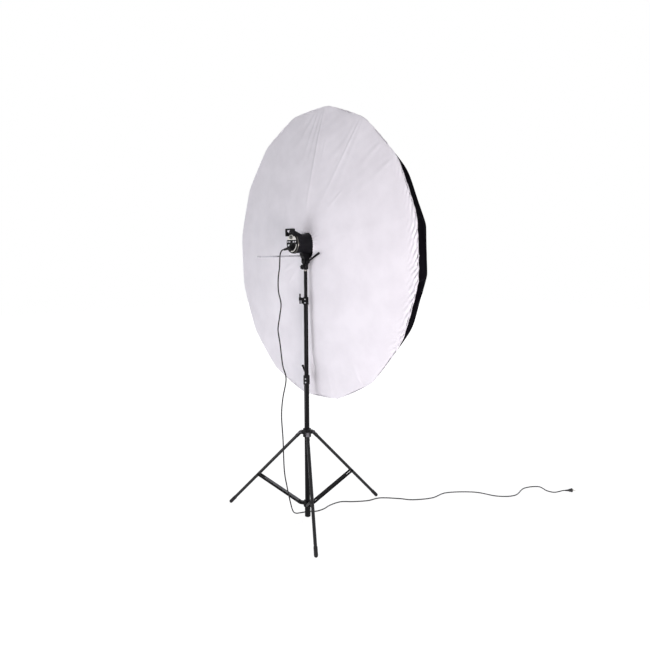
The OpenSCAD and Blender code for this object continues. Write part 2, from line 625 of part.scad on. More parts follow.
// Runner: sleeve with a slotted flange for the stretchers
module runner() color(satin_black) {
  difference() {
    union() {
      rod_y(9, runner_y - 52, runner_y + 6, shaft_z);
      rod_y(12, runner_y - 52, runner_y - 44, shaft_z);
      rod_y(22, runner_y - 6, runner_y + 6, shaft_z);
    }
    rod_y(shaft_r + run_gap, runner_y - 60, runner_y + 20, shaft_z);
    for (k = [0 : rib_count - 1]) at_rib(k) translate([11, runner_y - 8, -slot_w / 2]) cube([20, 16, slot_w]);
  }
  translate([0, runner_y, shaft_z]) rotate([90, 0, 0]) rotate_extrude($fn = 96)
    translate([runner_pivot_r, 0]) circle(r = wire_r, $fn = 16);
}

// Rib: an arc of rod from its eye at the crown to its tip ball, with a collar for the stretcher
module rib(k) color(satin_black) at_rib(k) {
  difference() {
    union() {
      translate([0, ball_y, 0]) rotate([0, 0, 90 - rib_end])
        rotate_extrude(angle = rib_end - rod_start, $fn = 240)
          translate([rib_ball, 0]) circle(r = rib_r, $fn = 16);
      translate([rib_pivot_r, rib_pivot_y, 0]) rotate([0, 0, -rib_start])
        translate([0, -eye_r + 1, -eye_w / 2]) cube([tongue_len, 2 * eye_r - 2, eye_w]);
      translate([rib_pivot_r, rib_pivot_y, 0]) cylinder(h = eye_w, r = eye_r - 1, center = true);
    }
    translate([rib_pivot_r, rib_pivot_y, 0]) cylinder(h = 20, r = wire_r + 0.4, center = true);
  }
  translate([0, ball_y, 0]) rotate([0, 0, 90 - rib_end]) translate([rib_ball, 0, 0])
    sphere(r = rib_r + 0.4, $fn = 24);
  translate([0, ball_y, 0]) rotate([0, 0, 90 - joint_angle]) translate([rib_ball, 0, 0]) rotate([90, 0, 0])
    cylinder(h = 9, r = rib_r + 0.5, center = true);
}

// Stretcher: a straight rod from its eye in the runner to a flat eye beside the rib collar
module stretcher(k) color(satin_black) at_rib(k) {
  skew = atan2(joint_side, stretcher_len);
  translate([runner_pivot_r, runner_y, 0]) rotate([0, 0, stretcher_rise]) {
    difference() {
      union() {
        cylinder(h = eye_w, r = eye_r - 0.6, center = true);
        rotate([0, -skew, 0]) rotate([0, 90, 0]) cylinder(h = stretcher_len, r = stretcher_r * 0.8, $fn = 16);
        translate([stretcher_len, 0, joint_side]) cylinder(h = 1.6, r = joint_eye_r, center = true);
      }
      cylinder(h = 20, r = wire_r + 0.4, center = true);
    }
  }
}

// Canopy: one closed skin, drawn in between the ribs
module canopy() color(satin_black) {
  outer = [for (k = [0 : canopy_rings - 1]) for (i = [0 : sides - 1])
    cloth_point(i, ring_angle(k), skin_out)];
  inner = [for (k = [canopy_rings - 1 : -1 : 0]) for (i = [0 : sides - 1])
    cloth_point(i, ring_angle(k), skin_in)];
  polyhedron(points = concat(outer, inner), faces = band_faces(2 * canopy_rings, sides), convexity = 6);
}

// Front diffuser: a cover drawn forward to its opening by the flash, with a hem turned back over the rim
module diffuser() color(white_cloth) {
  front = [for (k = [cover_rings - 1 : -1 : 0]) for (i = [0 : sides - 1])
    cover_point(i, k / (cover_rings - 1), -cloth)];
  lip_out = [for (a = [rim_angle + 0.05, rim_angle - hem_back]) for (i = [0 : sides - 1])
    cloth_point(i, a, skin_out + hem_gap + cloth)];
  lip_in = [for (a = [rim_angle - hem_back, rim_angle + 0.04]) for (i = [0 : sides - 1])
    cloth_point(i, a, skin_out + hem_gap)];
  back = [for (k = [0 : cover_rings - 1]) for (i = [0 : sides - 1]) cover_point(i, k / (cover_rings - 1), 0)];
  rows = 2 * cover_rings + 4;
  polyhedron(points = concat(front, lip_out, lip_in, back), faces = band_faces(rows, sides), convexity = 6);
}

// Mains cord: a round tube swept along its route
module mains_cord() color(rubber_black) {
  points = [for (k = [0 : cord_rings]) for (i = [0 : cord_sides - 1])
    let (s = cord_side(k), u = cross(s, cord_dir(k)), a = 360 * i / cord_sides)
    cord_at(k) + cord_r * (cos(a) * s + sin(a) * u)];
  walls = [for (k = [0 : cord_rings - 1]) for (i = [0 : cord_sides - 1])
    let (j = (i + 1) % cord_sides, b = k * cord_sides)
    each [[b + i, b + cord_sides + j, b + j], [b + i, b + cord_sides + i, b + cord_sides + j]]];
  ends = [[for (i = [0 : cord_sides - 1]) i],
    [for (i = [cord_sides - 1 : -1 : 0]) cord_rings * cord_sides + i]];
  polyhedron(points = points, faces = concat(walls, ends), convexity = 10);
}

// Plug: moulded body with a relief, a front flange and two round pins
module mains_plug() color(rubber_black) translate(plug_at) rotate([0, 0, atan2(plug_dir[1], plug_dir[0])])
  rotate([0, 90, 0]) {
    cylinder(h = 24, r1 = cord_r + 1, r2 = 7);
    translate([0, 0, 23.99]) cylinder(h = 16, r1 = 9, r2 = plug_r - 1);
    translate([0, 0, 39.98]) cylinder(h = 6, r = plug_r - 0.2);
    for (s = [-1, 1]) translate([0, s * 9.5, 45]) {
      cylinder(h = 18, r = 2.4);
      translate([0, 0, 18]) sphere(r = 2.4, $fn = 24);
    }
  }

column();
lower_clamp_knob();
leg_spider();
spider_knob();
leg(0);  // leg_1
leg(1);  // leg_2
leg(2);  // leg_3
brace(0);  // brace_1
brace(1);  // brace_2
brace(2);  // brace_3
lower_riser();
upper_clamp_knob();
upper_riser();
spigot_socket();
spigot_knob();
tilt_yoke();
tilt_lever();
umbrella_knob();
flash_housing();
rear_panel();
power_dial();
carry_handle();
umbrella_shaft();
runner();
canopy();
diffuser();
mains_cord();
mains_plug();
rib(0);  // rib_01
rib(1);  // rib_02
rib(2);  // rib_03
rib(3);  // rib_04
rib(4);  // rib_05
rib(5);  // rib_06
rib(6);  // rib_07
rib(7);  // rib_08
rib(8);  // rib_09
rib(9);  // rib_10
rib(10);  // rib_11
rib(11);  // rib_12
rib(12);  // rib_13
rib(13);  // rib_14
rib(14);  // rib_15
rib(15);  // rib_16
stretcher(0);  // stretcher_01
stretcher(1);  // stretcher_02
stretcher(2);  // stretcher_03
stretcher(3);  // stretcher_04
stretcher(4);  // stretcher_05
stretcher(5);  // stretcher_06
stretcher(6);  // stretcher_07
stretcher(7);  // stretcher_08
stretcher(8);  // stretcher_09
stretcher(9);  // stretcher_10
stretcher(10);  // stretcher_11
stretcher(11);  // stretcher_12
stretcher(12);  // stretcher_13
stretcher(13);  // stretcher_14
stretcher(14);  // stretcher_15
stretcher(15);  // stretcher_16
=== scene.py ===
import math

import bpy
import numpy as np
from mathutils import Matrix, Vector


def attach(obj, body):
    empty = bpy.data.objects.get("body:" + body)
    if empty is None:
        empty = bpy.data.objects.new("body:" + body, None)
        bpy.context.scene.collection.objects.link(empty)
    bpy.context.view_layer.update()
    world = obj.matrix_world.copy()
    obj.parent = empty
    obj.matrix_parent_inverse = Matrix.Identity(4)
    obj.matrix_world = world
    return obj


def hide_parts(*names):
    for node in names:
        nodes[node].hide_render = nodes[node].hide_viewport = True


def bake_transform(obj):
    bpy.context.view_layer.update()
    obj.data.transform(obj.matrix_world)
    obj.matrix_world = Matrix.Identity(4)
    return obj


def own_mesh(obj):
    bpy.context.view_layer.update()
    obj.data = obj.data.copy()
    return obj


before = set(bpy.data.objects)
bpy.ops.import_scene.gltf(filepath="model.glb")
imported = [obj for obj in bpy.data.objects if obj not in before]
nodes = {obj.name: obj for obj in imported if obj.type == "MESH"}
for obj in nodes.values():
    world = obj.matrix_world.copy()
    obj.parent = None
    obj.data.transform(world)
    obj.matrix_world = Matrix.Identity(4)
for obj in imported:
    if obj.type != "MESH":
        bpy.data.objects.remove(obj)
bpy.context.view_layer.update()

MM = 0.001

# Places that several pieces share, in millimetres: the flash and its panel, the cord with its sleeve and plug
FLASH_Z, PANEL_Y, INLET_DROP = 1616.0, -93.0, 22.0
SLEEVE_OUT, SLEEVE_LONG, SLEEVE_LEAN = 9.0, 46.6, math.radians(14)
SLEEVE_WAY = Vector((0, -math.cos(SLEEVE_LEAN), -math.sin(SLEEVE_LEAN)))
SLEEVE_ROOT = Vector((0, PANEL_Y - SLEEVE_OUT, FLASH_Z - INLET_DROP))
CORD_R = 3.6
PLUG_ROOT, PLUG_WAY = Vector((725, 1545.6, 13)), Vector((0.5, 0.866, 0))


def linear(hex_colour, alpha=1.0):
    """sRGB hex to the linear values that the shaders work in."""
    out = []
    for i in (1, 3, 5):
        c = int(hex_colour[i:i + 2], 16) / 255
        out.append(c / 12.92 if c <= 0.04045 else ((c + 0.055) / 1.055) ** 2.4)
    return (*out, alpha)


# Camera: where the photograph was taken from, as a compass turn, a distance and a height in metres

def swing(first, second, angle):
    """Two square directions turned in their own plane, the first towards the second."""
    return (first * math.cos(angle) + second * math.sin(angle),
            second * math.cos(angle) - first * math.sin(angle))


def photo_camera():
    turn, away, high = math.radians(54.1095), 3.7999, 1.5922
    down, roll, pan = math.radians(6.481), math.radians(-0.3601), math.radians(1.3902)
    sensor_mm, focal_px, picture_px, centre_right_px, centre_up_px = 36, 662.19, 650, 3, -2
    ahead = Vector((-math.sin(turn), math.cos(turn), 0))
    right = Vector((math.cos(turn), math.sin(turn), 0))
    up = Vector((0, 0, 1))
    ahead, right = swing(ahead, right, pan)
    up, ahead = swing(up, ahead, down)
    right, up = swing(right, up, roll)
    data = bpy.data.cameras.new("photo_camera")
    data.sensor_width = sensor_mm
    data.lens = sensor_mm * focal_px / picture_px
    data.shift_x = centre_right_px / picture_px
    data.shift_y = centre_up_px / picture_px
    data.clip_end = 60
    obj = bpy.data.objects.new("photo_camera", data)
    matrix = Matrix((right, up, -ahead)).transposed().to_4x4()
    matrix.translation = Vector((math.sin(turn) * away, -math.cos(turn) * away, high))
    obj.matrix_world = matrix
    bpy.context.collection.objects.link(obj)
    bpy.context.scene.camera = obj


photo_camera()


# Meshes

def mesh_piece(name, points, faces, body, materials, smooth=True, uv=None, face_materials=None):
    """A mesh from points in metres and faces, riding on a body unless body is None."""
    mesh = bpy.data.meshes.new(name)
    mesh.from_pydata([tuple(p) for p in points], [], faces)
    mesh.update()
    for polygon in mesh.polygons:
        polygon.use_smooth = smooth
    if face_materials:
        for polygon, index in zip(mesh.polygons, face_materials):
            polygon.material_index = index
    if uv:
        layer = mesh.uv_layers.new(name="cloth_metres")
        for loop in mesh.loops:
            layer.data[loop.index].uv = uv[loop.vertex_index]
    obj = bpy.data.objects.new(name, mesh)
    bpy.context.collection.objects.link(obj)
    for material in materials:
        mesh.materials.append(material)
    if body:
        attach(obj, body)
    return obj


def strip_faces(rows, across, closed):
    """Quads between rows of points laid one after another."""
    faces = []
    for k in range(rows - 1):
        for i in range(across if closed else across - 1):
            a, b = k * across + i, k * across + (i + 1) % across
            faces.append((a, b, b + across, a + across))
    return faces


def end_caps(rows, sides):
    """The two faces that close a tube of rows of points."""
    last = (rows - 1) * sides
    return [tuple(range(sides))[::-1], tuple(range(last, last + sides))]


def turned(name, profile, origin, axis, body, material, sides=48):
    """A turned piece: pairs of radius and height in millimetres, spun about an axis through origin."""
    axis = Vector(axis).normalized()
    side = axis.orthogonal().normalized()
    other = axis.cross(side)
    points = []
    for radius, height in profile:
        for i in range(sides):
            a = 2 * math.pi * i / sides
            out = (side * math.cos(a) + other * math.sin(a)) * (radius * MM)
            points.append(Vector(origin) * MM + axis * (height * MM) + out)
    faces = strip_faces(len(profile), sides, True) + end_caps(len(profile), sides)
    return mesh_piece(name, points, faces, body, [material])


def spline_point(points, t):
    """A point on the smooth curve through the route's points, as in the part's source."""
    n = len(points) - 1
    k = min(int(t), n - 1)
    f = t - k
    a, b, c, d = points[max(k - 1, 0)], points[k], points[k + 1], points[min(k + 2, n)]
    square, cube = 2 * a - 5 * b + 4 * c - d, 3 * b - a - 3 * c + d
    return 0.5 * (2 * b + (c - a) * f + square * f * f + cube * f ** 3)


def round_tube(name, path, radius, material, sides=14):
    """A round tube along a path, closed at both ends."""
    side = Vector((1, 0, 0))
    points, uv, along = [], [], 0.0
    for k, p in enumerate(path):
        ahead = (path[min(k + 1, len(path) - 1)] - path[max(k - 1, 0)]).normalized()
        side = (side - ahead * side.dot(ahead)).normalized()
        other = ahead.cross(side)
        if k:
            along += (p - path[k - 1]).length
        for i in range(sides):
            a = 2 * math.pi * i / sides
            points.append(p + (side * math.cos(a) + other * math.sin(a)) * radius)
            uv.append((a * radius, along))
    faces = strip_faces(len(path), sides, True) + end_caps(len(path), sides)
    return mesh_piece(name, points, faces, None, [material], uv=uv)


# Finishes. Every material starts from add(), which puts in one node with its settings and links.

def add(material, kind, inputs=None, **settings):
    node = material.node_tree.nodes.new("ShaderNode" + kind)
    for name, value in settings.items():
        setattr(node, name, value)
    for name, value in (inputs or {}).items():
        if isinstance(value, bpy.types.NodeSocket):
            material.node_tree.links.new(value, node.inputs[name])
        else:
            node.inputs[name].default_value = value
    return node


def new_finish(name, **principled):
    """A material with its shader; the named sockets are set on the shader itself."""
    material = bpy.data.materials.new(name)
    material.use_nodes = True
    material.node_tree.nodes.clear()
    shader = add(material, "BsdfPrincipled", {k.replace("_", " "): v for k, v in principled.items()})
    add(material, "OutputMaterial", {"Surface": shader.outputs[0]})
    return material, shader


def link(material, source, shader, socket):
    material.node_tree.links.new(source, shader.inputs[socket])


def grained(name, dark, light, patch_mm, rough, grain_mm, depth_mm, stretch=(1, 1, 1), **principled):
    """A finish with patches of two near colours, a roughness that wanders with them, and a fine grain."""
    material, shader = new_finish(name, **principled)
    place = add(material, "TexCoord").outputs["Object"]
    patch = add(material, "TexNoise", {"Vector": place, "Scale": 1000 / patch_mm, "Detail": 4.0,
                                       "Roughness": 0.6}).outputs["Fac"]
    colour = add(material, "ValToRGB", {"Fac": patch})
    for end, spot, tone in zip(colour.color_ramp.elements, (0.3, 0.7), (dark, light)):
        end.position, end.color = spot, linear(tone)
    link(material, colour.outputs["Color"], shader, "Base Color")
    gloss = add(material, "MapRange", {"Value": patch, "From Min": 0.25, "From Max": 0.75,
                                       "To Min": rough[0], "To Max": rough[1]})
    link(material, gloss.outputs["Result"], shader, "Roughness")
    drawn = add(material, "Mapping", {"Vector": place, "Scale": stretch})
    grain = add(material, "TexNoise", {"Vector": drawn.outputs["Vector"], "Scale": 1000 / grain_mm,
                                       "Detail": 3.0})
    bump = add(material, "Bump", {"Height": grain.outputs["Fac"], "Strength": 0.6, "Distance": depth_mm * MM})
    link(material, bump.outputs["Normal"], shader, "Normal")
    return material, shader, place


# Colours of the black patches, and the stretch of the draw lines along an upright tube. Hairlines, fibres and
# moulded grains are finer than a fifth of a millimetre; they are drawn 0.5 to 1.2 mm coarse so that they show
STOVED_BLACK, DULL_BLACK = ("#09080A", "#0F0E11"), ("#0A090B", "#100F12")
TUBE_DRAW = (1, 1, 0.12)

# Black stoving paint on folded steel channel: dull satin with an orange peel and faint draw lines along it
brace_paint, *_ = grained("stoved_satin_paint_on_steel_channel", *STOVED_BLACK, 90, (0.5, 0.62), 2.4, 0.05,
                          stretch=TUBE_DRAW, IOR=1.5, Specular_IOR_Level=0.1)

# Glass filled nylon, injection moulded with a spark eroded grain: matt black, no sharp highlight
nylon, *_ = grained("moulded_grained_nylon", *DULL_BLACK, 30, (0.46, 0.62), 0.9, 0.06, IOR=1.53,
                    Specular_IOR_Level=0.12)

# Zinc alloy casting, powder coated: a pebbled satin black, rounded over the edges
powder, *_ = grained("powder_coated_zinc_casting", "#0A090C", "#100F13", 40, (0.36, 0.5), 1.3, 0.08, IOR=1.5,
                     Specular_IOR_Level=0.12)

# Aluminium tube of the flash, sprayed with fine texture paint: dull black with a dry sparkle
housing_paint, housing_shader, housing_place = grained(
    "sprayed_texture_paint_on_aluminium", "#0D0C10", "#151418", 60, (0.38, 0.52), 1.0, 0.07, IOR=1.5,
    Specular_IOR_Level=0.12)

# Flexible PVC, extruded: soft sheen, with slow waves from the wires twisted inside
sheath, *_ = grained("extruded_pvc_sheath", "#0F0E10", "#171618", 45, (0.36, 0.5), 7.0, 0.25, IOR=1.53,
                     Specular_IOR_Level=0.2)

# Steel rod, nickel plated and drawn lengthwise: pale bright metal with hairlines along Y
plate, plate_shader, plate_place = grained(
    "nickel_plated_drawn_steel", "#C2C2C6", "#D6D6DA", 60, (0.2, 0.34), 0.6, 0.02, stretch=(1, 0.02, 1),
    Metallic=1.0)

# Zinc plated screw steel, cold headed: bright with a fine tumbled grain
zinc, *_ = grained("zinc_plated_screw_steel", "#9A9B9F", "#B4B5B8", 4, (0.3, 0.44), 0.5, 0.02, Metallic=1.0)

# Glass fibre rod, pultruded and lacquered black: a thin gloss over long fibres
fibre, *_ = grained("pultruded_glass_fibre_rod", "#1B1A1D", "#26252A", 18, (0.3, 0.42), 1.2, 0.04, IOR=1.52)

# Steel wire, painted grey: thin glossy paint with small runs
wire, *_ = grained("painted_spring_steel_wire", "#6E6F74", "#85868B", 16, (0.3, 0.42), 1.5, 0.03, IOR=1.5)

# Polycarbonate foil, printed a pale pearl: cream grey with a faint metallic sheen and a fine emboss
foil, *_ = grained("pearl_printed_polycarbonate_foil", "#DCDAD2", "#E8E6DF", 22, (0.34, 0.46), 0.7, 0.03,
                   Metallic=0.1, IOR=1.58)

# ABS, moulded and polished: light grey caps
cap_abs, *_ = grained("polished_light_grey_abs", "#D5D6DA", "#E3E4E7", 9, (0.22, 0.34), 1.1, 0.02, IOR=1.54)

# ABS, moulded matt: dark grey dial
dial_abs, *_ = grained("moulded_grey_abs", "#565753", "#64655F", 9, (0.4, 0.54), 0.7, 0.03, IOR=1.54)


def stitch_rows(material, across, along, offset_mm, pitch_mm, thick_mm):
    """A mask of two rows of stitches, either side of the line across = 0."""
    sewn_share = 0.62
    aside = add(material, "Math", {0: across}, operation="ABSOLUTE")
    off = add(material, "Math", {0: aside.outputs[0], 1: offset_mm * MM}, operation="SUBTRACT")
    off = add(material, "Math", {0: off.outputs[0]}, operation="ABSOLUTE")
    on_row = add(material, "Math", {0: off.outputs[0], 1: thick_mm * MM / 2}, operation="LESS_THAN")
    step = add(material, "Math", {0: along, 1: 1000 / pitch_mm}, operation="MULTIPLY")
    step = add(material, "Math", {0: step.outputs[0]}, operation="FRACT")
    dash = add(material, "Math", {0: step.outputs[0], 1: sewn_share}, operation="LESS_THAN")
    return add(material, "Math", {0: on_row.outputs[0], 1: dash.outputs[0]}, operation="MULTIPLY").outputs[0]


def woven(name, dark, light, stitch, thread_mm, depth_mm, rough, seam_mm, **principled):
    """A plain weave drawn from the cloth's own metres, with a seam along the rib and slack in the yarn.

    A seam_mm below nothing gives a seam without rows of stitches."""
    slack_mm, stitch_mm, stitch_thick_mm, lap_mm, lap_edge_mm = 140, 5.0, 1.3, 5.5, 7.5
    # How far the seam's lap stands up and a stitch pulls it down, where a yarn stands up 1
    lap_up, stitch_down = 2.4, 1.4
    material, shader = new_finish(name, **principled)
    cloth = add(material, "UVMap", uv_map="cloth_metres").outputs["UV"]
    place = add(material, "TexCoord").outputs["Object"]
    parts = add(material, "SeparateXYZ", {"Vector": cloth})
    # Wave bands repeat every 2 pi / (20 * scale) metres
    band = 2 * math.pi / 20 / (thread_mm * MM)
    warp = add(material, "TexWave", {"Vector": cloth, "Scale": band}, bands_direction="X")
    weft = add(material, "TexWave", {"Vector": cloth, "Scale": band}, bands_direction="Y")
    weave = add(material, "Math", {0: warp.outputs["Fac"], 1: weft.outputs["Fac"]}, operation="ADD")
    slack = add(material, "TexNoise", {"Vector": place, "Scale": 1000 / slack_mm, "Detail": 5.0,
                                       "Roughness": 0.55}).outputs["Fac"]
    colour = add(material, "ValToRGB", {"Fac": slack})
    for end, spot, tone in zip(colour.color_ramp.elements, (0.35, 0.65), (dark, light)):
        end.position, end.color = spot, linear(tone)
    sewn = stitch_rows(material, parts.outputs["X"], parts.outputs["Y"], seam_mm, stitch_mm, stitch_thick_mm)
    thread = add(material, "Mix", {0: sewn, 6: colour.outputs["Color"], 7: linear(stitch)}, data_type="RGBA")
    link(material, thread.outputs[2], shader, "Base Color")
    gloss = add(material, "MapRange", {"Value": slack, "To Min": rough[0], "To Max": rough[1]})
    link(material, gloss.outputs["Result"], shader, "Roughness")
    # The lapped seam stands up beside the rib, and the stitches pull it down again
    aside = add(material, "Math", {0: parts.outputs["X"]}, operation="ABSOLUTE")
    lap = add(material, "MapRange", {"Value": aside.outputs[0], "From Min": lap_mm * MM,
                                     "From Max": lap_edge_mm * MM, "To Min": lap_up, "To Max": 0.0},
              interpolation_type="SMOOTHSTEP")
    height = add(material, "Math", {0: weave.outputs[0], 1: lap.outputs["Result"]}, operation="ADD")
    pulled = add(material, "Math", {0: sewn, 1: stitch_down}, operation="MULTIPLY")
    height = add(material, "Math", {0: height.outputs[0], 1: pulled.outputs[0]}, operation="SUBTRACT")
    bump = add(material, "Bump", {"Height": height.outputs[0], "Strength": 0.5, "Distance": depth_mm * MM})
    link(material, bump.outputs["Normal"], shader, "Normal")
    return material


# The yarns of all three cloths are about 0.2 mm apart; they are drawn 1.6 mm apart so that they show
YARN_MM = 1.6

# Polyester taffeta, woven and coated black: deep dull black that swallows the light
black_cloth = woven("coated_black_polyester_taffeta", "#110F13", "#1B191E", "#3A373E", YARN_MM, 0.10,
                    (0.7, 0.85), 3.0, IOR=1.5, Specular_IOR_Level=0.0)
# The same cloth's white coated face inside the canopy: even and matt
white_lining = woven("white_coated_polyester_lining", "#E2E0E6", "#EDEBF0", "#D2D0D6", YARN_MM, 0.08,
                     (0.55, 0.7), 3.0, IOR=1.5, Sheen_Weight=0.1)
# Thin nylon, woven for the front cover: cool white that scatters the light, with a soft sheen and no stitches
white_cover = woven("thin_white_diffuser_nylon", "#E4E1E5", "#ECE9ED", "#D9D6DA", YARN_MM, 0.06,
                    (0.72, 0.86), -9.0, IOR=1.5, Sheen_Weight=0.15, Sheen_Roughness=0.5)


# Mains cord, made first: the route of the part's source in millimetres, turned to metres at its end

def mains_route():
    straight_out, into_plug, floor_gap, steps = 14, 17, 0.2, 10
    start = SLEEVE_ROOT + SLEEVE_WAY * SLEEVE_LONG
    low = CORD_R + floor_gap
    middle = [
        (9, -178, 1560), (14, -185, 1530), (14, -188, 1485), (8, -193, 1425), (2, -189, 1355),
        (2, -173, 1280), (0, -182, 1210), (0, -194, 1138), (0, -182, 1060), (0, -166, 935), (0, -144, 850),
        (0, -168, 740), (0, -178, 640), (0, -170, 500), (0, -164, 320), (0, -146, 215), (-8, -118, 110),
        (-30, -86, 45), (-54, -48, 14), (-62, -6, low), (-48, 42, low), (-22, 82, low), (-24, 140, low),
        (-46, 206, low), (-48, 290, low), (0, 356, low), (44, 440, low), (58, 530, low), (140, 616, low),
        (208, 670, low), (262, 790, low), (258, 930, low), (364, 1080, low), (500, 1140, low),
        (560, 1240, low), (520, 1390, low), (560, 1490, low), (640, 1470, low), (690, 1480, 6),
        (716, 1530, 13),
    ]
    points = [start, start + SLEEVE_WAY * straight_out] + [Vector(p) for p in middle]
    points.append(points[-1] + PLUG_WAY * into_plug)
    return [spline_point(points, k / steps) * MM for k in range(steps * (len(points) - 1) + 1)]


def mains_cord():
    """The cord in five stretches split at four heights; the last lies on the floor and rides on the stand."""
    bodies = ["head", "socket", "top", "middle", "stand"]
    split_levels = (1.15, 0.90, 0.55, 0.20)
    path = mains_route()
    splits = [0]
    for level in split_levels:
        splits.append(next(k for k, p in enumerate(path) if p.z < level))
    splits.append(len(path) - 1)
    for n, body in enumerate(bodies):
        part = path[splits[n]:splits[n + 1] + 1]
        piece = round_tube("mains_cord_%d" % (n + 1), part, CORD_R * MM, sheath)
        last = n == len(bodies) - 1
        if last:
            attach(piece, body)
        else:
            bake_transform(piece)
        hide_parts("mains_cord")


mains_cord()


# Umbrella, in millimetres about its shaft. The cloth follows a ball through the rim and the apex

RIBS = len([n for n in nodes if n.startswith("rib_")])
RIB_PHASE = 14.0
RIM_R, DEPTH, RIM_Y, SHAFT_Z, HUB_R = 825.0, 520.0, 73.0, 1546.0, 9.0
BALL_R = (RIM_R ** 2 + DEPTH ** 2) / (2 * DEPTH)
BALL_Y = RIM_Y + DEPTH - BALL_R
RIM_ANGLE = math.asin(RIM_R / BALL_R)
HUB_ANGLE = math.asin(HUB_R / BALL_R)
# Share of its radius that the cloth loses midway between two ribs: halfway down a gore, and at the rim
GORE_SAG, RIM_SAG = 0.019, 0.011
CLOTH = 0.6
# The cover's opening: an egg of this radius, drawn down round the shaft, whose top and bottom lean back
OPENING_R, OPENING_DROP, OPENING_Y, OPENING_LEAN = 63.0, 19.0, 9.0, 21.0
# Points across a gore of the canopy; the cover has twice as many
COLUMNS = 28


def gore_keep(t, sag):
    """Share of the rib radius that the cloth keeps, t gores from a rib: a taut chord, rounded at the rib."""
    corner = 0.03
    turn = 2 * math.pi / RIBS
    off = np.sqrt(((t + 0.5) % 1 - 0.5) ** 2 + corner ** 2) - corner
    chord = math.cos(turn / 2) / np.cos(turn / 2 - off * turn)
    return 1 - sag * (1 - chord) / (1 - math.cos(turn / 2))


def waves(x, z, size, seed):
    """Slow unrepeating ripples about one high, from a few crossed sines of a wavelength near size."""
    crossed, golden_turn = 5, 2.399963
    total = np.zeros_like(x)
    for n in range(crossed):
        turn = seed * 1.7 + n * golden_turn
        wave = size * (0.7 + 0.23 * n)
        total += np.sin((x * math.cos(turn) + z * math.sin(turn)) * 2 * math.pi / wave + seed * 5.1 + n * 1.3)
    return total / crossed


def grid_normals(grid):
    """Normals of a grid whose columns close into a ring, pointing towards the back of the umbrella."""
    across = np.roll(grid, -1, axis=1) - np.roll(grid, 1, axis=1)
    along = np.gradient(grid, axis=0)
    normal = np.cross(across, along)
    return normal / np.maximum(np.linalg.norm(normal, axis=2, keepdims=True), 1e-12)


def ball_points(ball, polar, angle, keep):
    """Points of the cloth at a polar angle from the apex, on a ball round the canopy's middle."""
    r = ball * np.sin(polar) * keep
    return np.stack([r * np.cos(angle), BALL_Y + ball * np.cos(polar), SHAFT_Z + r * np.sin(angle)], axis=2)


def cloth_piece(name, points, faces, uv, normals, materials, face_materials=None):
    """A cloth mesh in metres whose normals run on into the next gore, so that no edge shows between them."""
    uv = [tuple(p) for p in uv]
    piece = mesh_piece(name, points, faces, None, materials, uv=uv, face_materials=face_materials)
    piece.data.normals_split_custom_set_from_vertices([tuple(n) for n in normals])
    return piece


def canopy_skin(ball, gore, polar, angle):
    """One face of the canopy, in metres: taut chords between the ribs, with a little slack."""
    sag = RIM_SAG + (GORE_SAG - RIM_SAG) * np.sin(np.pi * np.clip(polar / RIM_ANGLE, 0, 1))
    flat_r = ball * np.sin(polar)
    x, z = flat_r * np.cos(angle), flat_r * np.sin(angle)
    # Ripples that grow towards the rim and die out at the seam over each rib
    ripple = 1.5 + 1.2 * waves(x, z, 150, 2.0) + 0.6 * waves(x, z, 60, 5.0)
    slack = np.sin(np.pi * gore) ** 2 * (polar / RIM_ANGLE) * ripple
    return ball_points(ball - slack, polar, angle, gore_keep(gore, sag)) * MM


def canopy():
    """The canopy, one smooth skin cut into gores along the lines midway between the ribs."""
    deep, wide = 40, COLUMNS + 1
    total, count = COLUMNS * RIBS, wide * deep
    gore = (np.arange(total) / COLUMNS - 0.5)[None, :]
    polar = (HUB_ANGLE + (RIM_ANGLE - HUB_ANGLE) * np.linspace(0, 1, deep) ** 0.9)[:, None]
    angle = np.radians(RIB_PHASE + 360 * gore / RIBS) + 0 * polar
    outer, inner = canopy_skin(BALL_R + CLOTH, gore, polar, angle), canopy_skin(BALL_R, gore, polar, angle)
    out_normals = grid_normals(outer)
    t = np.linspace(-0.5, 0.5, wide)[None, :]
    uv = np.stack([BALL_R * np.sin(polar) * np.radians(360 * t / RIBS), BALL_R * polar + 0 * t], axis=2) * MM
    uv = uv.reshape(-1, 2)
    # Faces: the outside, the inside, and the thin edge that joins them all round
    front = strip_faces(deep, wide, False)
    edge = [(k, k + 1) for k in range(wide - 1)]
    edge += [(i * wide + wide - 1, (i + 1) * wide + wide - 1) for i in range(deep - 1)]
    edge += [(count - 1 - k, count - 2 - k) for k in range(wide - 1)]
    edge += [((i + 1) * wide, i * wide) for i in range(deep - 1)]
    faces = front + [tuple(count + i for i in face[::-1]) for face in front]
    faces += [(b, a, count + a, count + b) for a, b in edge]
    marks = [0] * len(front) + [1] * len(front) + [0] * len(edge)
    for k in range(RIBS):
        cols = [(k * COLUMNS + i) % total for i in range(wide)]
        points = np.concatenate([outer[:, cols].reshape(-1, 3), inner[:, cols].reshape(-1, 3)])
        normals = out_normals[:, cols].reshape(-1, 3)
        piece = cloth_piece("canopy_gore_%02d" % (k + 1), points, faces, np.concatenate([uv, uv]),
                            np.concatenate([normals, -normals]), [black_cloth, white_lining], marks)
        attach(piece, "rib_%02d" % (k + 1))
        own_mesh(piece)
        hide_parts("canopy")


canopy()

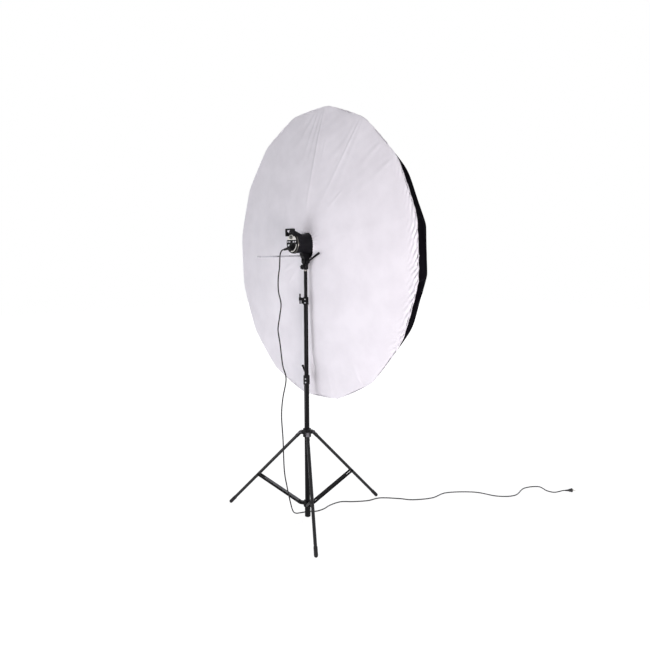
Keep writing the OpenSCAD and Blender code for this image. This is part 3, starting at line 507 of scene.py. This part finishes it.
# Folds of the front cover, read off the photograph: two ends in millimetres about the shaft, height and half
# width. Most start at the rib tips that pull the cover, and they die out towards the flash
COVER_FOLDS = [
    (101, 825, -17, 230, 2.8, 8), (45, 800, -75, 540, 2.2, 9), (75, 795, -20, 515, 1.8, 8),
    (20, 805, -150, 610, 1.6, 12), (411, 722, 130, 305, 2.6, 8), (385, 735, 60, 205, 1.2, 14),
    (425, 705, 190, 270, 1.2, 12), (290, 350, 180, 258, 1.8, 8), (130, 640, 104, 500, 1.6, 8),
    (330, 650, 150, 480, 1.0, 12), (-7, -815, -19, -160, -2.2, 9), (12, -815, 4, -300, 1.4, 12),
    (-310, -20, -120, 25, 2.2, 10), (-260, -85, -110, -25, 2.5, 9), (-210, -155, -90, -55, 2.0, 9),
    (560, 570, 420, 470, 2.2, 12), (640, 480, 520, 400, 1.8, 12), (-430, 690, -300, 520, 2.4, 14),
    (-690, 400, -540, 330, 1.8, 14), (420, -715, 330, -560, 2.2, 12), (150, -805, 120, -640, 2.2, 12),
    (-470, -660, -380, -540, 1.6, 14),
]


def tent_ridge(x, z, share):
    """The one upright ridge of the tent that the flash makes of the cover, from the top tip to the bottom."""
    high, half_width, crest_round, near_flash = 9, 190, 8, 0.3
    bend_x, bend_z, top_tip_x = -18, 234, 101
    top_fade, bottom_fade = 0.2, 0.4
    line = bend_x + np.maximum(z - bend_z, 0) * (top_tip_x - bend_x) / (RIM_R - bend_z)
    crest = np.sqrt((x - line) ** 2 + crest_round ** 2)
    ends = np.clip((1 - z / RIM_R) / top_fade, 0, 1) * np.clip((1 + z / RIM_R) / bottom_fade, 0, 1)
    # Below the flash the ridge is half as high as above it
    level = 0.75 + 0.25 * np.tanh(z / 120)
    return high * np.exp(-crest / half_width) * level * ends * np.clip(share / near_flash, 0, 1)


def lever_dents(x, z):
    """How far the cover lies back behind the end of the tilt lever and of the lower clamp's lever."""
    dents = np.zeros_like(x)
    for middle_x, middle_z, deep, wide, high in ((105, 6, 10, 60, 48), (-8, -655, 7, 50, 60)):
        dents += deep * np.exp(-((x - middle_x) / wide) ** 2 - ((z - middle_z) / high) ** 2)
    return dents


def drawn_folds(x, z):
    """The straight folds, each a crest with a shallow trough beside it that widens away from its rib tip."""
    folds = np.zeros_like(x)
    for x0, z0, x1, z1, height, half in COVER_FOLDS:
        dx, dz = x1 - x0, z1 - z0
        long = math.hypot(dx, dz)
        along = ((x - x0) * dx + (z - z0) * dz) / long ** 2
        off = ((x - x0) * dz - (z - z0) * dx) / long
        fade = np.clip(along / 0.3, 0, 1) ** 0.7 * np.clip(1 - along, 0, 1) ** 0.6
        spread = half * (0.7 + 0.9 * np.clip(along, 0, 1))
        trough = 0.3 * np.exp(-((off - 2 * spread) / spread) ** 2)
        folds += height * fade * (np.exp(-(off / spread) ** 2) - trough)
    return folds


def gathers(share, angle):
    """Puckers round the opening's elastic, creases along the hem, and its roll over the rim between ribs."""
    pucker_high, pucker_reach, puckers = 1.6, 30, 27
    crease_reach, crease_least, crease_right = 18, 0.8, 13
    roll_back, roll_reach = 5, 9
    from_opening, from_hem = share * (RIM_R - OPENING_R), (1 - share) * (RIM_R - OPENING_R)
    pucker = np.exp(-from_opening / pucker_reach) * np.cos(puckers * angle + 1.6 * np.sin(3 * angle))
    # The creases are deepest at the right of the cover, and their spacing and slant wander
    pull = crease_least + crease_right * np.exp(-(np.angle(np.exp(1j * angle)) / 0.5) ** 2)
    wander = 2.6 * np.sin(5 * angle) + 1.7 * np.sin(13 * angle + 1) + 1.1 * np.sin(29 * angle + 2)
    creases = np.zeros_like(angle)
    for turns, slant, weight in ((84, 0.24, 0.7), (133, 0.17, 0.45)):
        crease = 1.6 * np.abs(np.cos((turns * angle + slant * from_hem + wander) / 2)) ** 0.8 - 1
        creases += weight * pull * np.exp(-from_hem / crease_reach) * crease
    between_ribs = np.sin(RIBS / 2 * (angle - math.radians(RIB_PHASE))) ** 2
    return pucker_high * pucker + creases - roll_back * between_ribs * np.exp(-from_hem / roll_reach)


def cover_relief(x, z, share, angle):
    """How far the front cover stands forward of its flat cone, in millimetres."""
    ripple = 1.1 * waves(x, z, 210, 1.0) + 0.5 * waves(x, z, 75, 3.0) * np.clip(0.4 + z / 800, 0.2, 1.2)
    return tent_ridge(x, z, share) - lever_dents(x, z) + drawn_folds(x, z) + gathers(share, angle) + ripple


def cover_sheet(share, angle, rim):
    """The cover from its gathered opening to the rim, in millimetres, and its radius about the shaft."""
    top_lean, narrow_reach, lean_reach, lean_fade, before_rim = 0.4, 60, 200, 260, 1.2
    rise = np.sin(angle)
    mouth_r = OPENING_R + OPENING_DROP * np.maximum(0, -rise) ** 3
    flat_r = share * rim + (1 - share) * mouth_r
    # The top and bottom of the opening lie further back than its sides. At the top that dies out close to the
    # opening; below, the cloth keeps back behind the bracket first, and it dies out towards the rim
    above = top_lean * rise ** 2 * (mouth_r / flat_r) ** 2
    narrow = np.exp(-(flat_r - mouth_r) / narrow_reach)
    dying = 1 + (np.maximum(flat_r - lean_reach, 0) / lean_fade) ** 2
    below = (narrow * rise ** 4 + (1 - narrow) * rise ** 2) / dying
    mouth_y = OPENING_Y + OPENING_LEAN * np.where(rise > 0, above, below)
    x, z = flat_r * np.cos(angle), flat_r * rise + (1 - share) * (FLASH_Z - SHAFT_Z)
    cone = share * (RIM_Y - before_rim) + (1 - share) * mouth_y
    y = cone - CLOTH - cover_relief(x, z, share, angle + 0 * share)
    return np.stack([x, y, SHAFT_Z + z], axis=2), flat_r


def cover_hem(gore, angle, rows):
    """The hem, in millimetres: round the rim and back over the black cloth, drawn up in small gathers."""
    past_rim, turn_back, clear = math.radians(0.12), math.radians(0.85), 1.0
    gather = 0.8 + 0.8 * np.cos(84 * angle + 2.2 * np.sin(5 * angle))
    ragged = 1 + 0.15 * np.sin(61 * angle + 2 * np.sin(7 * angle))
    ragged = ragged + 0.08 * np.sin(137 * angle + 3 * np.sin(11 * angle))
    hem = []
    for j in range(1, rows + 1):
        # The first row is the round of the fold, in front of the rim
        fold, forward = (0.6, 2.0) if j == 1 else (1.2, 0.0)
        back = max((j - 2) / (rows - 2), 0)
        polar = RIM_ANGLE + past_rim - turn_back * back * ragged
        ball = BALL_R + CLOTH + clear + gather * min(1, 0.4 + j / 4) + fold * (1 - back)
        hem.append(ball_points(ball, polar, angle, gore_keep(gore, RIM_SAG)) - np.array((0, forward, 0)))
    return np.concatenate(hem)


def opening_casing(mouth):
    """The elastic casing sewn round the opening, puckered with the cloth."""
    sides, puckers, thick_mm, outward_mm, seam_aside = 10, 54, 2.4, 1.2, 0.02
    around = len(mouth)
    middle = mouth.mean(axis=0)
    points, uv = [], []
    for i, p in enumerate(mouth):
        out = (p - middle) / np.linalg.norm(p - middle)
        for j in range(sides):
            a = 2 * math.pi * j / sides
            thick = thick_mm + 0.5 * math.cos(2 * math.pi * puckers * i / around) + 0.3 * math.cos(a * 3)
            ring = out * math.cos(a) + np.array((0, 1, 0)) * math.sin(a)
            points.append(p + out * outward_mm * MM + thick * MM * ring)
            uv.append((a * thick_mm * MM + seam_aside, 2 * math.pi * OPENING_R * MM * i / around))
    faces = [tuple(i % (around * sides) for i in face) for face in strip_faces(around + 1, sides, True)]
    casing = mesh_piece("opening_casing", points, faces, "umbrella", [white_cover], uv=uv)
    return casing


def front_cover():
    """The diffuser: one sheet from the opening to the hem turned back over the rim, cut as the canopy is."""
    down, hem_rows, hem_mm, casing_points = 84, 9, 16, 324
    over_rim, mean_rim = 0.8, 0.985
    wide, total = 2 * COLUMNS + 1, 2 * COLUMNS * RIBS
    gore = (np.arange(total) / (2 * COLUMNS) - 0.5)[None, :]
    # Rows lie closer together near the opening and the hem
    even = np.linspace(0, 1, down)[:, None]
    share = (0.5 - 0.5 * np.cos(np.pi * even)) * 0.6 + even * 0.4
    angle = np.radians(RIB_PHASE + 360 * gore / RIBS)
    rim = (RIM_R + over_rim) * gore_keep(gore, RIM_SAG)
    sheet, flat_r = cover_sheet(share, angle, rim)
    grid = np.concatenate([sheet, cover_hem(gore, angle, hem_rows)]) * MM
    normals = -grid_normals(grid)
    step = np.linalg.norm(np.diff(grid, axis=0), axis=2)
    run = np.concatenate([np.zeros((1, total)), np.cumsum(step, axis=0)])
    about = np.concatenate([flat_r, np.repeat(rim, hem_rows, axis=0)]) * MM
    t = np.linspace(-0.5, 0.5, wide)[None, :]
    faces = [face[::-1] for face in strip_faces(len(grid), wide, False)]
    for k in range(RIBS):
        cols = [(k * 2 * COLUMNS + i) % total for i in range(wide)]
        uv = np.stack([about[:, cols] * np.radians(360 * t / RIBS), run[:, cols]], axis=2).reshape(-1, 2)
        piece = cloth_piece("front_cover_gore_%02d" % (k + 1), grid[:, cols].reshape(-1, 3), faces, uv,
                            normals[:, cols].reshape(-1, 3), [white_cover])
        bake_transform(piece)
        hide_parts("diffuser")
    casing = opening_casing(grid[0][np.linspace(0, total, casing_points, endpoint=False).astype(int)])


front_cover()


# Rigid pieces: the CAD nodes keep their shape and get their finish here

def masked(material, shader, mask, colour, rough, metallic=None):
    """Another finish where mask is 1: a second colour and roughness on the same shader."""
    old = shader.inputs["Base Color"].links[0].from_socket
    mix = add(material, "Mix", {0: mask, 6: old, 7: linear(colour)}, data_type="RGBA")
    link(material, mix.outputs[2], shader, "Base Color")
    old = shader.inputs["Roughness"].links[0].from_socket
    mix = add(material, "Mix", {0: mask, 2: old, 3: rough})
    link(material, mix.outputs[0], shader, "Roughness")
    if metallic is not None:
        before = shader.inputs["Metallic"]
        start = before.links[0].from_socket if before.links else before.default_value
        mix = add(material, "Mix", {0: mask, 2: start, 3: metallic})
        link(material, mix.outputs[0], shader, "Metallic")


def away_from_axis(material, place, first, second):
    """Distance from a line along one axis; first and second are the other coordinates with their centres."""
    parts = add(material, "SeparateXYZ", {"Vector": place})
    squares = []
    for name, centre in (first, second):
        shift = add(material, "Math", {0: parts.outputs[name], 1: centre}, operation="SUBTRACT")
        squares.append(add(material, "Math", {0: shift.outputs[0], 1: 2.0}, operation="POWER"))
    total = add(material, "Math", {0: squares[0].outputs[0], 1: squares[1].outputs[0]}, operation="ADD")
    return add(material, "Math", {0: total.outputs[0]}, operation="SQRT").outputs[0], parts.outputs


def zone(material, *limits):
    """A mask that is 1 where every value lies above or below its limit in millimetres."""
    mask = None
    for value, side, limit_mm in limits:
        operation = {"above": "GREATER_THAN", "below": "LESS_THAN"}[side]
        past = add(material, "Math", {0: value, 1: limit_mm * MM}, operation=operation).outputs[0]
        if mask is not None:
            past = add(material, "Math", {0: mask, 1: past}, operation="MULTIPLY").outputs[0]
        mask = past
    return mask


# Where one solid changes its finish, or where a painted highlight begins, in millimetres
COLUMN_R, RISER_R, COLLAR_STEP, BARE_END_Z = 15.0, 12.5, 0.4, 1460.5
FOOT_Z, LEG_TOP_Z, CHEEK_R, CHEEK_Z = 44.0, 504.0, 34.0, 508.0
BOWL_R, BOWL_Y, DOME_R, EDGE_R, EDGE_Y = 52.0, -12.0, 36.5, 53.2, -84.6
SHAFT_CAP_Y, CROWN_Y, PLUG_FRONT = -302.0, 515.0, 46.4


def tube_with_clamp(name, tube_r, rough, level):
    """Painted tube whose moulded collars, clamp and end plug are matt where they stand out from the tube."""
    material, shader, place = grained(name, *STOVED_BLACK, 90, rough, 2.4, 0.015, stretch=TUBE_DRAW, IOR=1.5,
                                      Specular_IOR_Level=level)
    radius, _ = away_from_axis(material, place, ("X", 0.0), ("Y", 0.0))
    masked(material, shader, zone(material, (radius, "above", tube_r + COLLAR_STEP)), "#0F0E10", 0.52)
    return material


# Stoved paint on steel tube, with moulded nylon clamps: a smooth black, glossy on the column and satin on the
# lower riser, and dull on the clamps
column_paint = tube_with_clamp("stoved_gloss_column_with_nylon_collars", COLUMN_R, (0.1, 0.16), 0.12)
riser_paint = tube_with_clamp("stoved_paint_riser_with_nylon_clamp", RISER_R, (0.2, 0.3), 0.06)

# The top riser's paint stops short of the socket and leaves the end of the plated tube bare
top_paint, top_shader, top_place = grained(
    "stoved_paint_riser_with_bare_plated_end", *DULL_BLACK, 90, (0.26, 0.38), 2.4, 0.05, stretch=TUBE_DRAW,
    IOR=1.5, Specular_IOR_Level=0.07)
top_z = add(top_paint, "SeparateXYZ", {"Vector": top_place}).outputs["Z"]
masked(top_paint, top_shader, zone(top_paint, (top_z, "above", BARE_END_Z)), "#8E8B87", 0.42, 1.0)

# Legs: the same paint, with rubber feet that carry floor dust. The top ends of the legs, and the upper sides
# of the collar's cheek ends that hold them, are painted grey: a painted highlight on black paint and black
# nylon
leg_paint, leg_shader, leg_place = grained(
    "stoved_paint_leg_with_rubber_foot_and_painted_highlight", *STOVED_BLACK, 90, (0.26, 0.38), 2.4, 0.03, IOR=1.5,
    Specular_IOR_Level=0.3)
leg_z = add(leg_paint, "SeparateXYZ", {"Vector": leg_place}).outputs["Z"]
masked(leg_paint, leg_shader, zone(leg_paint, (leg_z, "below", FOOT_Z)), "#1A191B", 0.78)
# Painted highlight: the top end of each leg is painted grey
masked(leg_paint, leg_shader, zone(leg_paint, (leg_z, "above", LEG_TOP_Z)), "#7C7B7F", 0.45)
collar_nylon, collar_shader, collar_place = grained(
    "moulded_nylon_leg_collar_with_painted_highlight", *DULL_BLACK, 30, (0.46, 0.62), 0.9, 0.06, IOR=1.53, Specular_IOR_Level=0.12)
collar_radius, collar_parts = away_from_axis(collar_nylon, collar_place, ("X", 0.0), ("Y", 0.0))
# Painted highlight: the upper side of each cheek end is painted grey
cheek_top_highlight = zone(collar_nylon, (collar_radius, "above", CHEEK_R), (collar_parts["Z"], "above", CHEEK_Z))
masked(collar_nylon, collar_shader, cheek_top_highlight, "#4A494C", 0.45)

# Flash housing: texture paint outside; inside the front a bright spun bowl and the frosted dome over the
# tubes. The turned rear edge of the barrel is left bare and polished
front_radius, front_parts = away_from_axis(housing_paint, housing_place, ("X", 0.0), ("Z", FLASH_Z * MM))
bowl = zone(housing_paint, (front_radius, "below", BOWL_R), (front_parts["Y"], "above", BOWL_Y))
masked(housing_paint, housing_shader, bowl, "#C9CACE", 0.2, 1.0)
dome = zone(housing_paint, (front_radius, "below", DOME_R), (front_parts["Y"], "above", BOWL_Y))
masked(housing_paint, housing_shader, dome, "#E6E7EA", 0.45, 0.0)
rear_edge = zone(housing_paint, (front_radius, "above", EDGE_R), (front_parts["Y"], "below", EDGE_Y))
masked(housing_paint, housing_shader, rear_edge, "#5C5A56", 0.26, 1.0)

# Shaft: plated rod with a pale moulded end cap and a black moulded crown
shaft_y = add(plate, "SeparateXYZ", {"Vector": plate_place}).outputs["Y"]
masked(plate, plate_shader, zone(plate, (shaft_y, "below", SHAFT_CAP_Y)), "#B9B9BD", 0.55, 0.0)
masked(plate, plate_shader, zone(plate, (shaft_y, "above", CROWN_Y)), "#151417", 0.5, 0.0)

# Plug: the cord's PVC, with bright pins past its front flange
plug_pvc, plug_shader, plug_place = grained(
    "moulded_pvc_plug_with_bright_pins", "#121113", "#1D1C1E", 20, (0.4, 0.54), 1.2, 0.06, IOR=1.53)
along_plug = add(plug_pvc, "VectorMath", {0: plug_place, 1: PLUG_WAY}, operation="DOT_PRODUCT")
pins = zone(plug_pvc, (along_plug.outputs["Value"], "above", PLUG_ROOT.dot(PLUG_WAY) + PLUG_FRONT))
masked(plug_pvc, plug_shader, pins, "#C9C6BD", 0.25, 1.0)

FINISH = {
    "column": column_paint, "lower_riser": riser_paint, "upper_riser": top_paint, "leg_spider": collar_nylon,
    "spigot_socket": powder, "tilt_yoke": powder, "flash_housing": housing_paint, "power_dial": dial_abs,
    "umbrella_shaft": plate, "mains_plug": plug_pvc,
}
FINISH.update({name: nylon for name in (
    "lower_clamp_knob", "upper_clamp_knob", "spider_knob", "spigot_knob", "umbrella_knob", "tilt_lever",
    "carry_handle", "rear_panel", "runner")})
NUMBERED_FINISH = {"leg": leg_paint, "brace": brace_paint, "rib": fibre, "stretcher": wire}
for name, obj in nodes.items():
    finish = FINISH.get(name) or NUMBERED_FINISH.get(name.rsplit("_", 1)[0])
    if finish:
        obj.data.materials.clear()
        obj.data.materials.append(finish)


# Small pieces that ride on the clamps and on the rear of the flash

def screw_head(name, centre, way, radius, body):
    """Pan head with a cross recess, seated on its pad; heights and the cross are shares of the radius."""
    rings, sides, rim_rings = 14, 48, 2
    crown, pan_high, pan_fall, sunk, rim_high = 0.36, 0.62, 0.72, 0.1, 0.22
    cross_long, cross_wide, cross_deep = 0.58, 0.13, 0.26
    side = way.orthogonal().normalized()
    other = way.cross(side)
    points = [centre + way * radius * crown]
    for k in range(1, rings + 1):
        share = min(k / (rings - rim_rings), 1.0)
        for i in range(sides):
            a = 2 * math.pi * i / sides
            u, v = share * math.cos(a), share * math.sin(a)
            height = pan_high * math.sqrt(max(1 - pan_fall * share ** 2, 0)) - sunk
            if max(abs(u), abs(v)) < cross_long and min(abs(u), abs(v)) < cross_wide:
                height -= cross_deep
            if k > rings - rim_rings:
                height = rim_high * (rings - k)
            points.append(centre + (side * u + other * v) * radius + way * height * radius)
    faces = [(0, 1 + i, 1 + (i + 1) % sides) for i in range(sides)]
    for k in range(rings - 1):
        a, b = 1 + k * sides, 1 + (k + 1) * sides
        faces += [(a + i, b + i, b + (i + 1) % sides, a + (i + 1) % sides) for i in range(sides)]
    piece = mesh_piece(name, points, faces, body, [zinc])


# The screws sit on pads of the clamps, 40 degrees round from the front
SCREW_TURN = math.radians(40)
SCREW_WAY = Vector((math.sin(SCREW_TURN), -math.cos(SCREW_TURN), 0))
for label, body, pad, heights, radius in (("lower", "stand", 24.0, (817, 837), 4.2),
                                          ("upper", "middle", 21.5, (1280, 1300), 3.6)):
    for n, height in enumerate(heights):
        centre = (SCREW_WAY * pad + Vector((0, 0, height))) * MM
        screw_head("%s_clamp_screw_%d" % (label, n + 1), centre, SCREW_WAY, radius * MM, body)


def foil_piece(name, loops, out):
    """A thin printed plate on the rear panel, with rounded edges, from loops about the flash's axis."""
    thick, corner = 0.5 * MM, 0.12 * MM
    curve = bpy.data.curves.new(name, "CURVE")
    curve.dimensions, curve.fill_mode = "2D", "BOTH"
    curve.extrude, curve.bevel_depth, curve.bevel_resolution = thick / 2 - corner, corner, 2
    for loop in loops:
        spline = curve.splines.new("POLY")
        spline.points.add(len(loop) - 1)
        for point, (x, z) in zip(spline.points, loop):
            point.co = (x * MM, z * MM, 0, 1)
        spline.use_cyclic_u = True
    helper = bpy.data.objects.new(name + "_outline", curve)
    bpy.context.collection.objects.link(helper)
    bpy.context.view_layer.update()
    mesh = bpy.data.meshes.new_from_object(helper.evaluated_get(bpy.context.evaluated_depsgraph_get()))
    bpy.data.objects.remove(helper)
    place = Vector((0, PANEL_Y - out, FLASH_Z)) * MM
    mesh.transform(Matrix.Translation(place) @ Matrix.Rotation(math.radians(90), 4, "X"))
    mesh.name = name
    mesh.materials.clear()
    mesh.materials.append(foil)
    piece = bpy.data.objects.new(name, mesh)
    bpy.context.collection.objects.link(piece)
    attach(piece, "head")


def raised_bar(corners, lift):
    """Points in metres and faces of a thin raised bar: its outer face and its four sides."""
    points = [p * MM for p in corners] + [(p + Vector((0, lift, 0))) * MM for p in corners]
    return points, [(0, 1, 2, 3), (0, 4, 5, 1), (1, 5, 6, 2), (2, 6, 7, 3), (3, 7, 4, 0)]


# The half moon plate of the rear panel, and the dial on it, in millimetres
MOON_R, MOON_LOW, DIAL_UP, DIAL_HOLE_R = 49.4, 21.2, 36.0, 6.2


def on_circle(radius, angles, up=0.0):
    """Points of a circle or an arc on the panel, its centre straight above the flash's axis."""
    return [(radius * math.cos(a), up + radius * math.sin(a)) for a in angles]


def half_moon():
    """Printed half moon plate with the hole for the dial."""
    start = math.asin(MOON_LOW / MOON_R)
    outline = on_circle(MOON_R, [start + (math.pi - 2 * start) * k / 64 for k in range(65)])
    hole = on_circle(DIAL_HOLE_R, [2 * math.pi * k / 48 for k in range(48)], DIAL_UP)
    foil_piece("display_plate", [outline, hole], 1.78)


def scale_marks():
    """Eleven marks round the dial, every fifth one longer, none past the edge of the plate."""
    count, first_turn, step, inner, half = 11, 225, 27, 11.6, 0.45
    plain, longer, margin, out, thick = 2.6, 4.2, 0.8, 2.08, 0.12
    points, faces = [], []
    base = Vector((0, PANEL_Y - out, FLASH_Z + DIAL_UP))
    for k in range(count):
        a = math.radians(first_turn - step * k)
        ray, side = Vector((math.cos(a), 0, math.sin(a))), Vector((-math.sin(a), 0, math.cos(a)))
        to_edge = math.sqrt((MOON_R - margin) ** 2 - (DIAL_UP * math.cos(a)) ** 2) - DIAL_UP * math.sin(a)
        end = min(inner + (plain if k % 5 else longer), to_edge)
        outline = ((inner, -half), (end, -half), (end, half), (inner, half))
        bar_points, bar_faces = raised_bar([base + ray * r + side * w for r, w in outline], thick)
        faces += [tuple(len(points) + i for i in face) for face in bar_faces]
        points += bar_points
    marks = mesh_piece("dial_scale_marks", points, faces, "head", [nylon], smooth=False)


def button_caps():
    """A row of five domed caps, the middle one black."""
    profile = [(4.3, 0), (4.5, 0.4), (4.5, 1.6), (4.1, 2.3), (3.0, 2.7), (1.5, 2.9), (0.3, 2.95)]
    out, up = 1.0, 10.5
    for n, x in enumerate((-36, -18, 0, 18, 36)):
        cap = turned("button_cap_%d" % (n + 1), profile, (x, PANEL_Y - out, FLASH_Z + up), (0, -1, 0),
                     "head", cap_abs if x else nylon)


def painted_rim_highlight():
    """A bright foil arc along the lower right of the panel: a painted reflection of the light on the panel's
    rim.
    """
    inner, outer, first_turn, sweep = 40.6, 46.0, 256, 100
    arc = [math.radians(first_turn + sweep * k / 60) for k in range(61)]
    foil_piece("painted_rim_highlight", [on_circle(inner, arc) + on_circle(outer, arc[::-1])], 0.28)


def inlet_ring():
    """Raised ring round the mains inlet."""
    profile = [(16.9, 4.0), (18.2, 4.0), (18.9, 4.9), (18.9, 7.4), (18.2, 8.3), (17.0, 8.3)]
    ring = turned("inlet_ring", profile, (0, PANEL_Y, FLASH_Z - INLET_DROP), (0, -1, 0), "head", nylon, 72)


def rocker_switch():
    """Rocker switch beside the inlet, its upper half pressed in."""
    aside, drop, half_wide, half_high, bevel = -29, -9, 8, 5.5, 0.5
    corners = [(-1, -1), (1, -1), (1, 1), (-1, 1)]
    points = []
    for inset, low_rise, high_rise in ((0.0, 0.0, 0.0), (0.0, 0.4, 1.0), (bevel, 3.4, 1.6)):
        for right, up in corners:
            rise = high_rise if up > 0 else low_rise
            points.append(Vector((right * (half_wide - inset) + aside, PANEL_Y - rise,
                                  FLASH_Z + drop + up * (half_high - inset))) * MM)
    faces = strip_faces(3, len(corners), True) + [(8, 9, 10, 11)]
    rocker = mesh_piece("rocker_switch", points, faces, "head", [cap_abs], smooth=False)


def cord_sleeve():
    """Connector body and ribbed sleeve over the cord's relief."""
    ribs, first_rib, pitch, rib_r, taper, groove = 6, 19.0, 4.4, 8.0, 0.28, 1.0
    profile = [(8.6, 0.5), (9.4, 1.2), (9.4, 17), (8.6, 18.2)]
    for k in range(ribs):
        start, wide = first_rib + pitch * k, rib_r - taper * k
        low = wide - groove
        profile += [(low, start), (wide, start + 0.7), (wide, start + 2.4), (low, start + 3.1)]
    profile += [(5.2, 46.0), (3.9, 46.4)]
    sleeve = turned("cord_sleeve", profile, SLEEVE_ROOT, SLEEVE_WAY, "head", sheath)


def dial_top():
    """The dial's cap and the pointer on it, which turn with the dial."""
    cap_out, pointer_out, pointer_thick, half, inner, outer = 10.9, 12.2, 0.3, 0.5, 2, 7.4
    profile = [(7.6, 0), (7.9, 0.3), (7.9, 0.7), (7.2, 1.1), (3.0, 1.2), (0.2, 1.2)]
    cap = turned("dial_cap", profile, (0, PANEL_Y - cap_out, FLASH_Z + DIAL_UP), (0, -1, 0), "dial", dial_abs)
    corners = [Vector((x, PANEL_Y - pointer_out, FLASH_Z + DIAL_UP + up))
               for x, up in ((-half, inner), (half, inner), (half, outer), (-half, outer))]
    points, faces = raised_bar(corners, pointer_thick)
    pointer = mesh_piece("dial_pointer", points, faces, "dial", [nylon], smooth=False)


half_moon()
scale_marks()
button_caps()
painted_rim_highlight()
inlet_ring()
rocker_switch()
cord_sleeve()
dial_top()


# Floor, background and light

def seen_rays(material):
    """1 for what the camera sees, straight, in a mirror or through a clear piece; 0 for light on its way."""
    path = add(material, "LightPath").outputs
    seen = path["Is Camera Ray"]
    for kind in ("Is Glossy Ray", "Is Transmission Ray"):
        seen = add(material, "Math", {0: seen, 1: path[kind]}, operation="MAXIMUM").outputs[0]
    return seen


def pale_floor():
    """A white floor that keeps a soft share of the object's shadow and joins the white background."""
    half_side, below, fade_from, fade_to, least_glow = 14.0, -0.0005, 1.2, 4.5, 0.74
    material = bpy.data.materials.new("white_paper_floor")
    material.use_nodes = True
    material.node_tree.nodes.clear()
    paper = add(material, "BsdfDiffuse", {"Color": linear("#F4F4F4")})
    glow = add(material, "Emission", {"Color": linear("#FFFFFF"), "Strength": 1.2})
    # Round the stand the paper shows its shadows; further out it runs into the white background
    away = add(material, "VectorMath", {0: add(material, "TexCoord").outputs["Object"]}, operation="LENGTH")
    fade = add(material, "MapRange", {"Value": away.outputs["Value"], "From Min": fade_from,
                                      "From Max": fade_to, "To Min": least_glow, "To Max": 1.0},
               interpolation_type="SMOOTHSTEP")
    share = add(material, "Math", {0: seen_rays(material), 1: fade.outputs["Result"]}, operation="MULTIPLY")
    mix = add(material, "MixShader", {0: share.outputs[0], 1: paper.outputs[0], 2: glow.outputs[0]})
    add(material, "OutputMaterial", {"Surface": mix.outputs[0]})
    corners = [(x * half_side, y * half_side, below) for x, y in ((-1, -1), (1, -1), (1, 1), (-1, 1))]
    floor = mesh_piece("paper_floor", corners, [(0, 1, 2, 3)], None, [material], smooth=False)


def white_studio():
    """Plain room light, with a white background where the camera looks."""
    world = bpy.data.worlds.new("white_studio")
    bpy.context.scene.world = world
    world.use_nodes = True
    world.node_tree.nodes.clear()
    room = add(world, "Background", {"Color": linear("#F1F2F6"), "Strength": 0.38})
    white = add(world, "Background", {"Color": linear("#FFFFFF"), "Strength": 1.0})
    shown = add(world, "MixShader", {0: seen_rays(world), 1: room.outputs[0], 2: white.outputs[0]})
    add(world, "OutputWorld", {"Surface": shown.outputs[0]})


def soft_light(name, place, aim, size, power, colour):
    data = bpy.data.lights.new(name, "AREA")
    data.shape, data.size, data.energy, data.color = "DISK", size, power, linear(colour)[:3]
    obj = bpy.data.objects.new(name, data)
    obj.location = place
    obj.rotation_euler = (Vector(aim) - Vector(place)).to_track_quat("-Z", "Y").to_euler()
    bpy.context.collection.objects.link(obj)


pale_floor()
white_studio()

# The key stands low at the right of the diffuser and rakes over it, and a broad fill stands in front. The
# rear light shows the seams on the back of the canopy. The low fill stands for light thrown back by the floor
soft_light("raking_key", (3.0, -1.1, 0.9), (-0.1, 0.05, 1.35), 1.0, 54, "#FFF6FA")
soft_light("broad_fill", (0.6, -4.2, 1.9), (0, 0, 1.1), 2.6, 20, "#F7F7FF")
soft_light("rear_light", (-2.2, 4.2, 2.6), (0, 0.4, 1.5), 1.6, 190, "#F7F7FF")
soft_light("low_fill", (-0.4, -2.3, 0.2), (0.0, 0.05, 0.45), 1.6, 28, "#FAFAFF")

bpy.context.scene.view_settings.view_transform = "Standard"
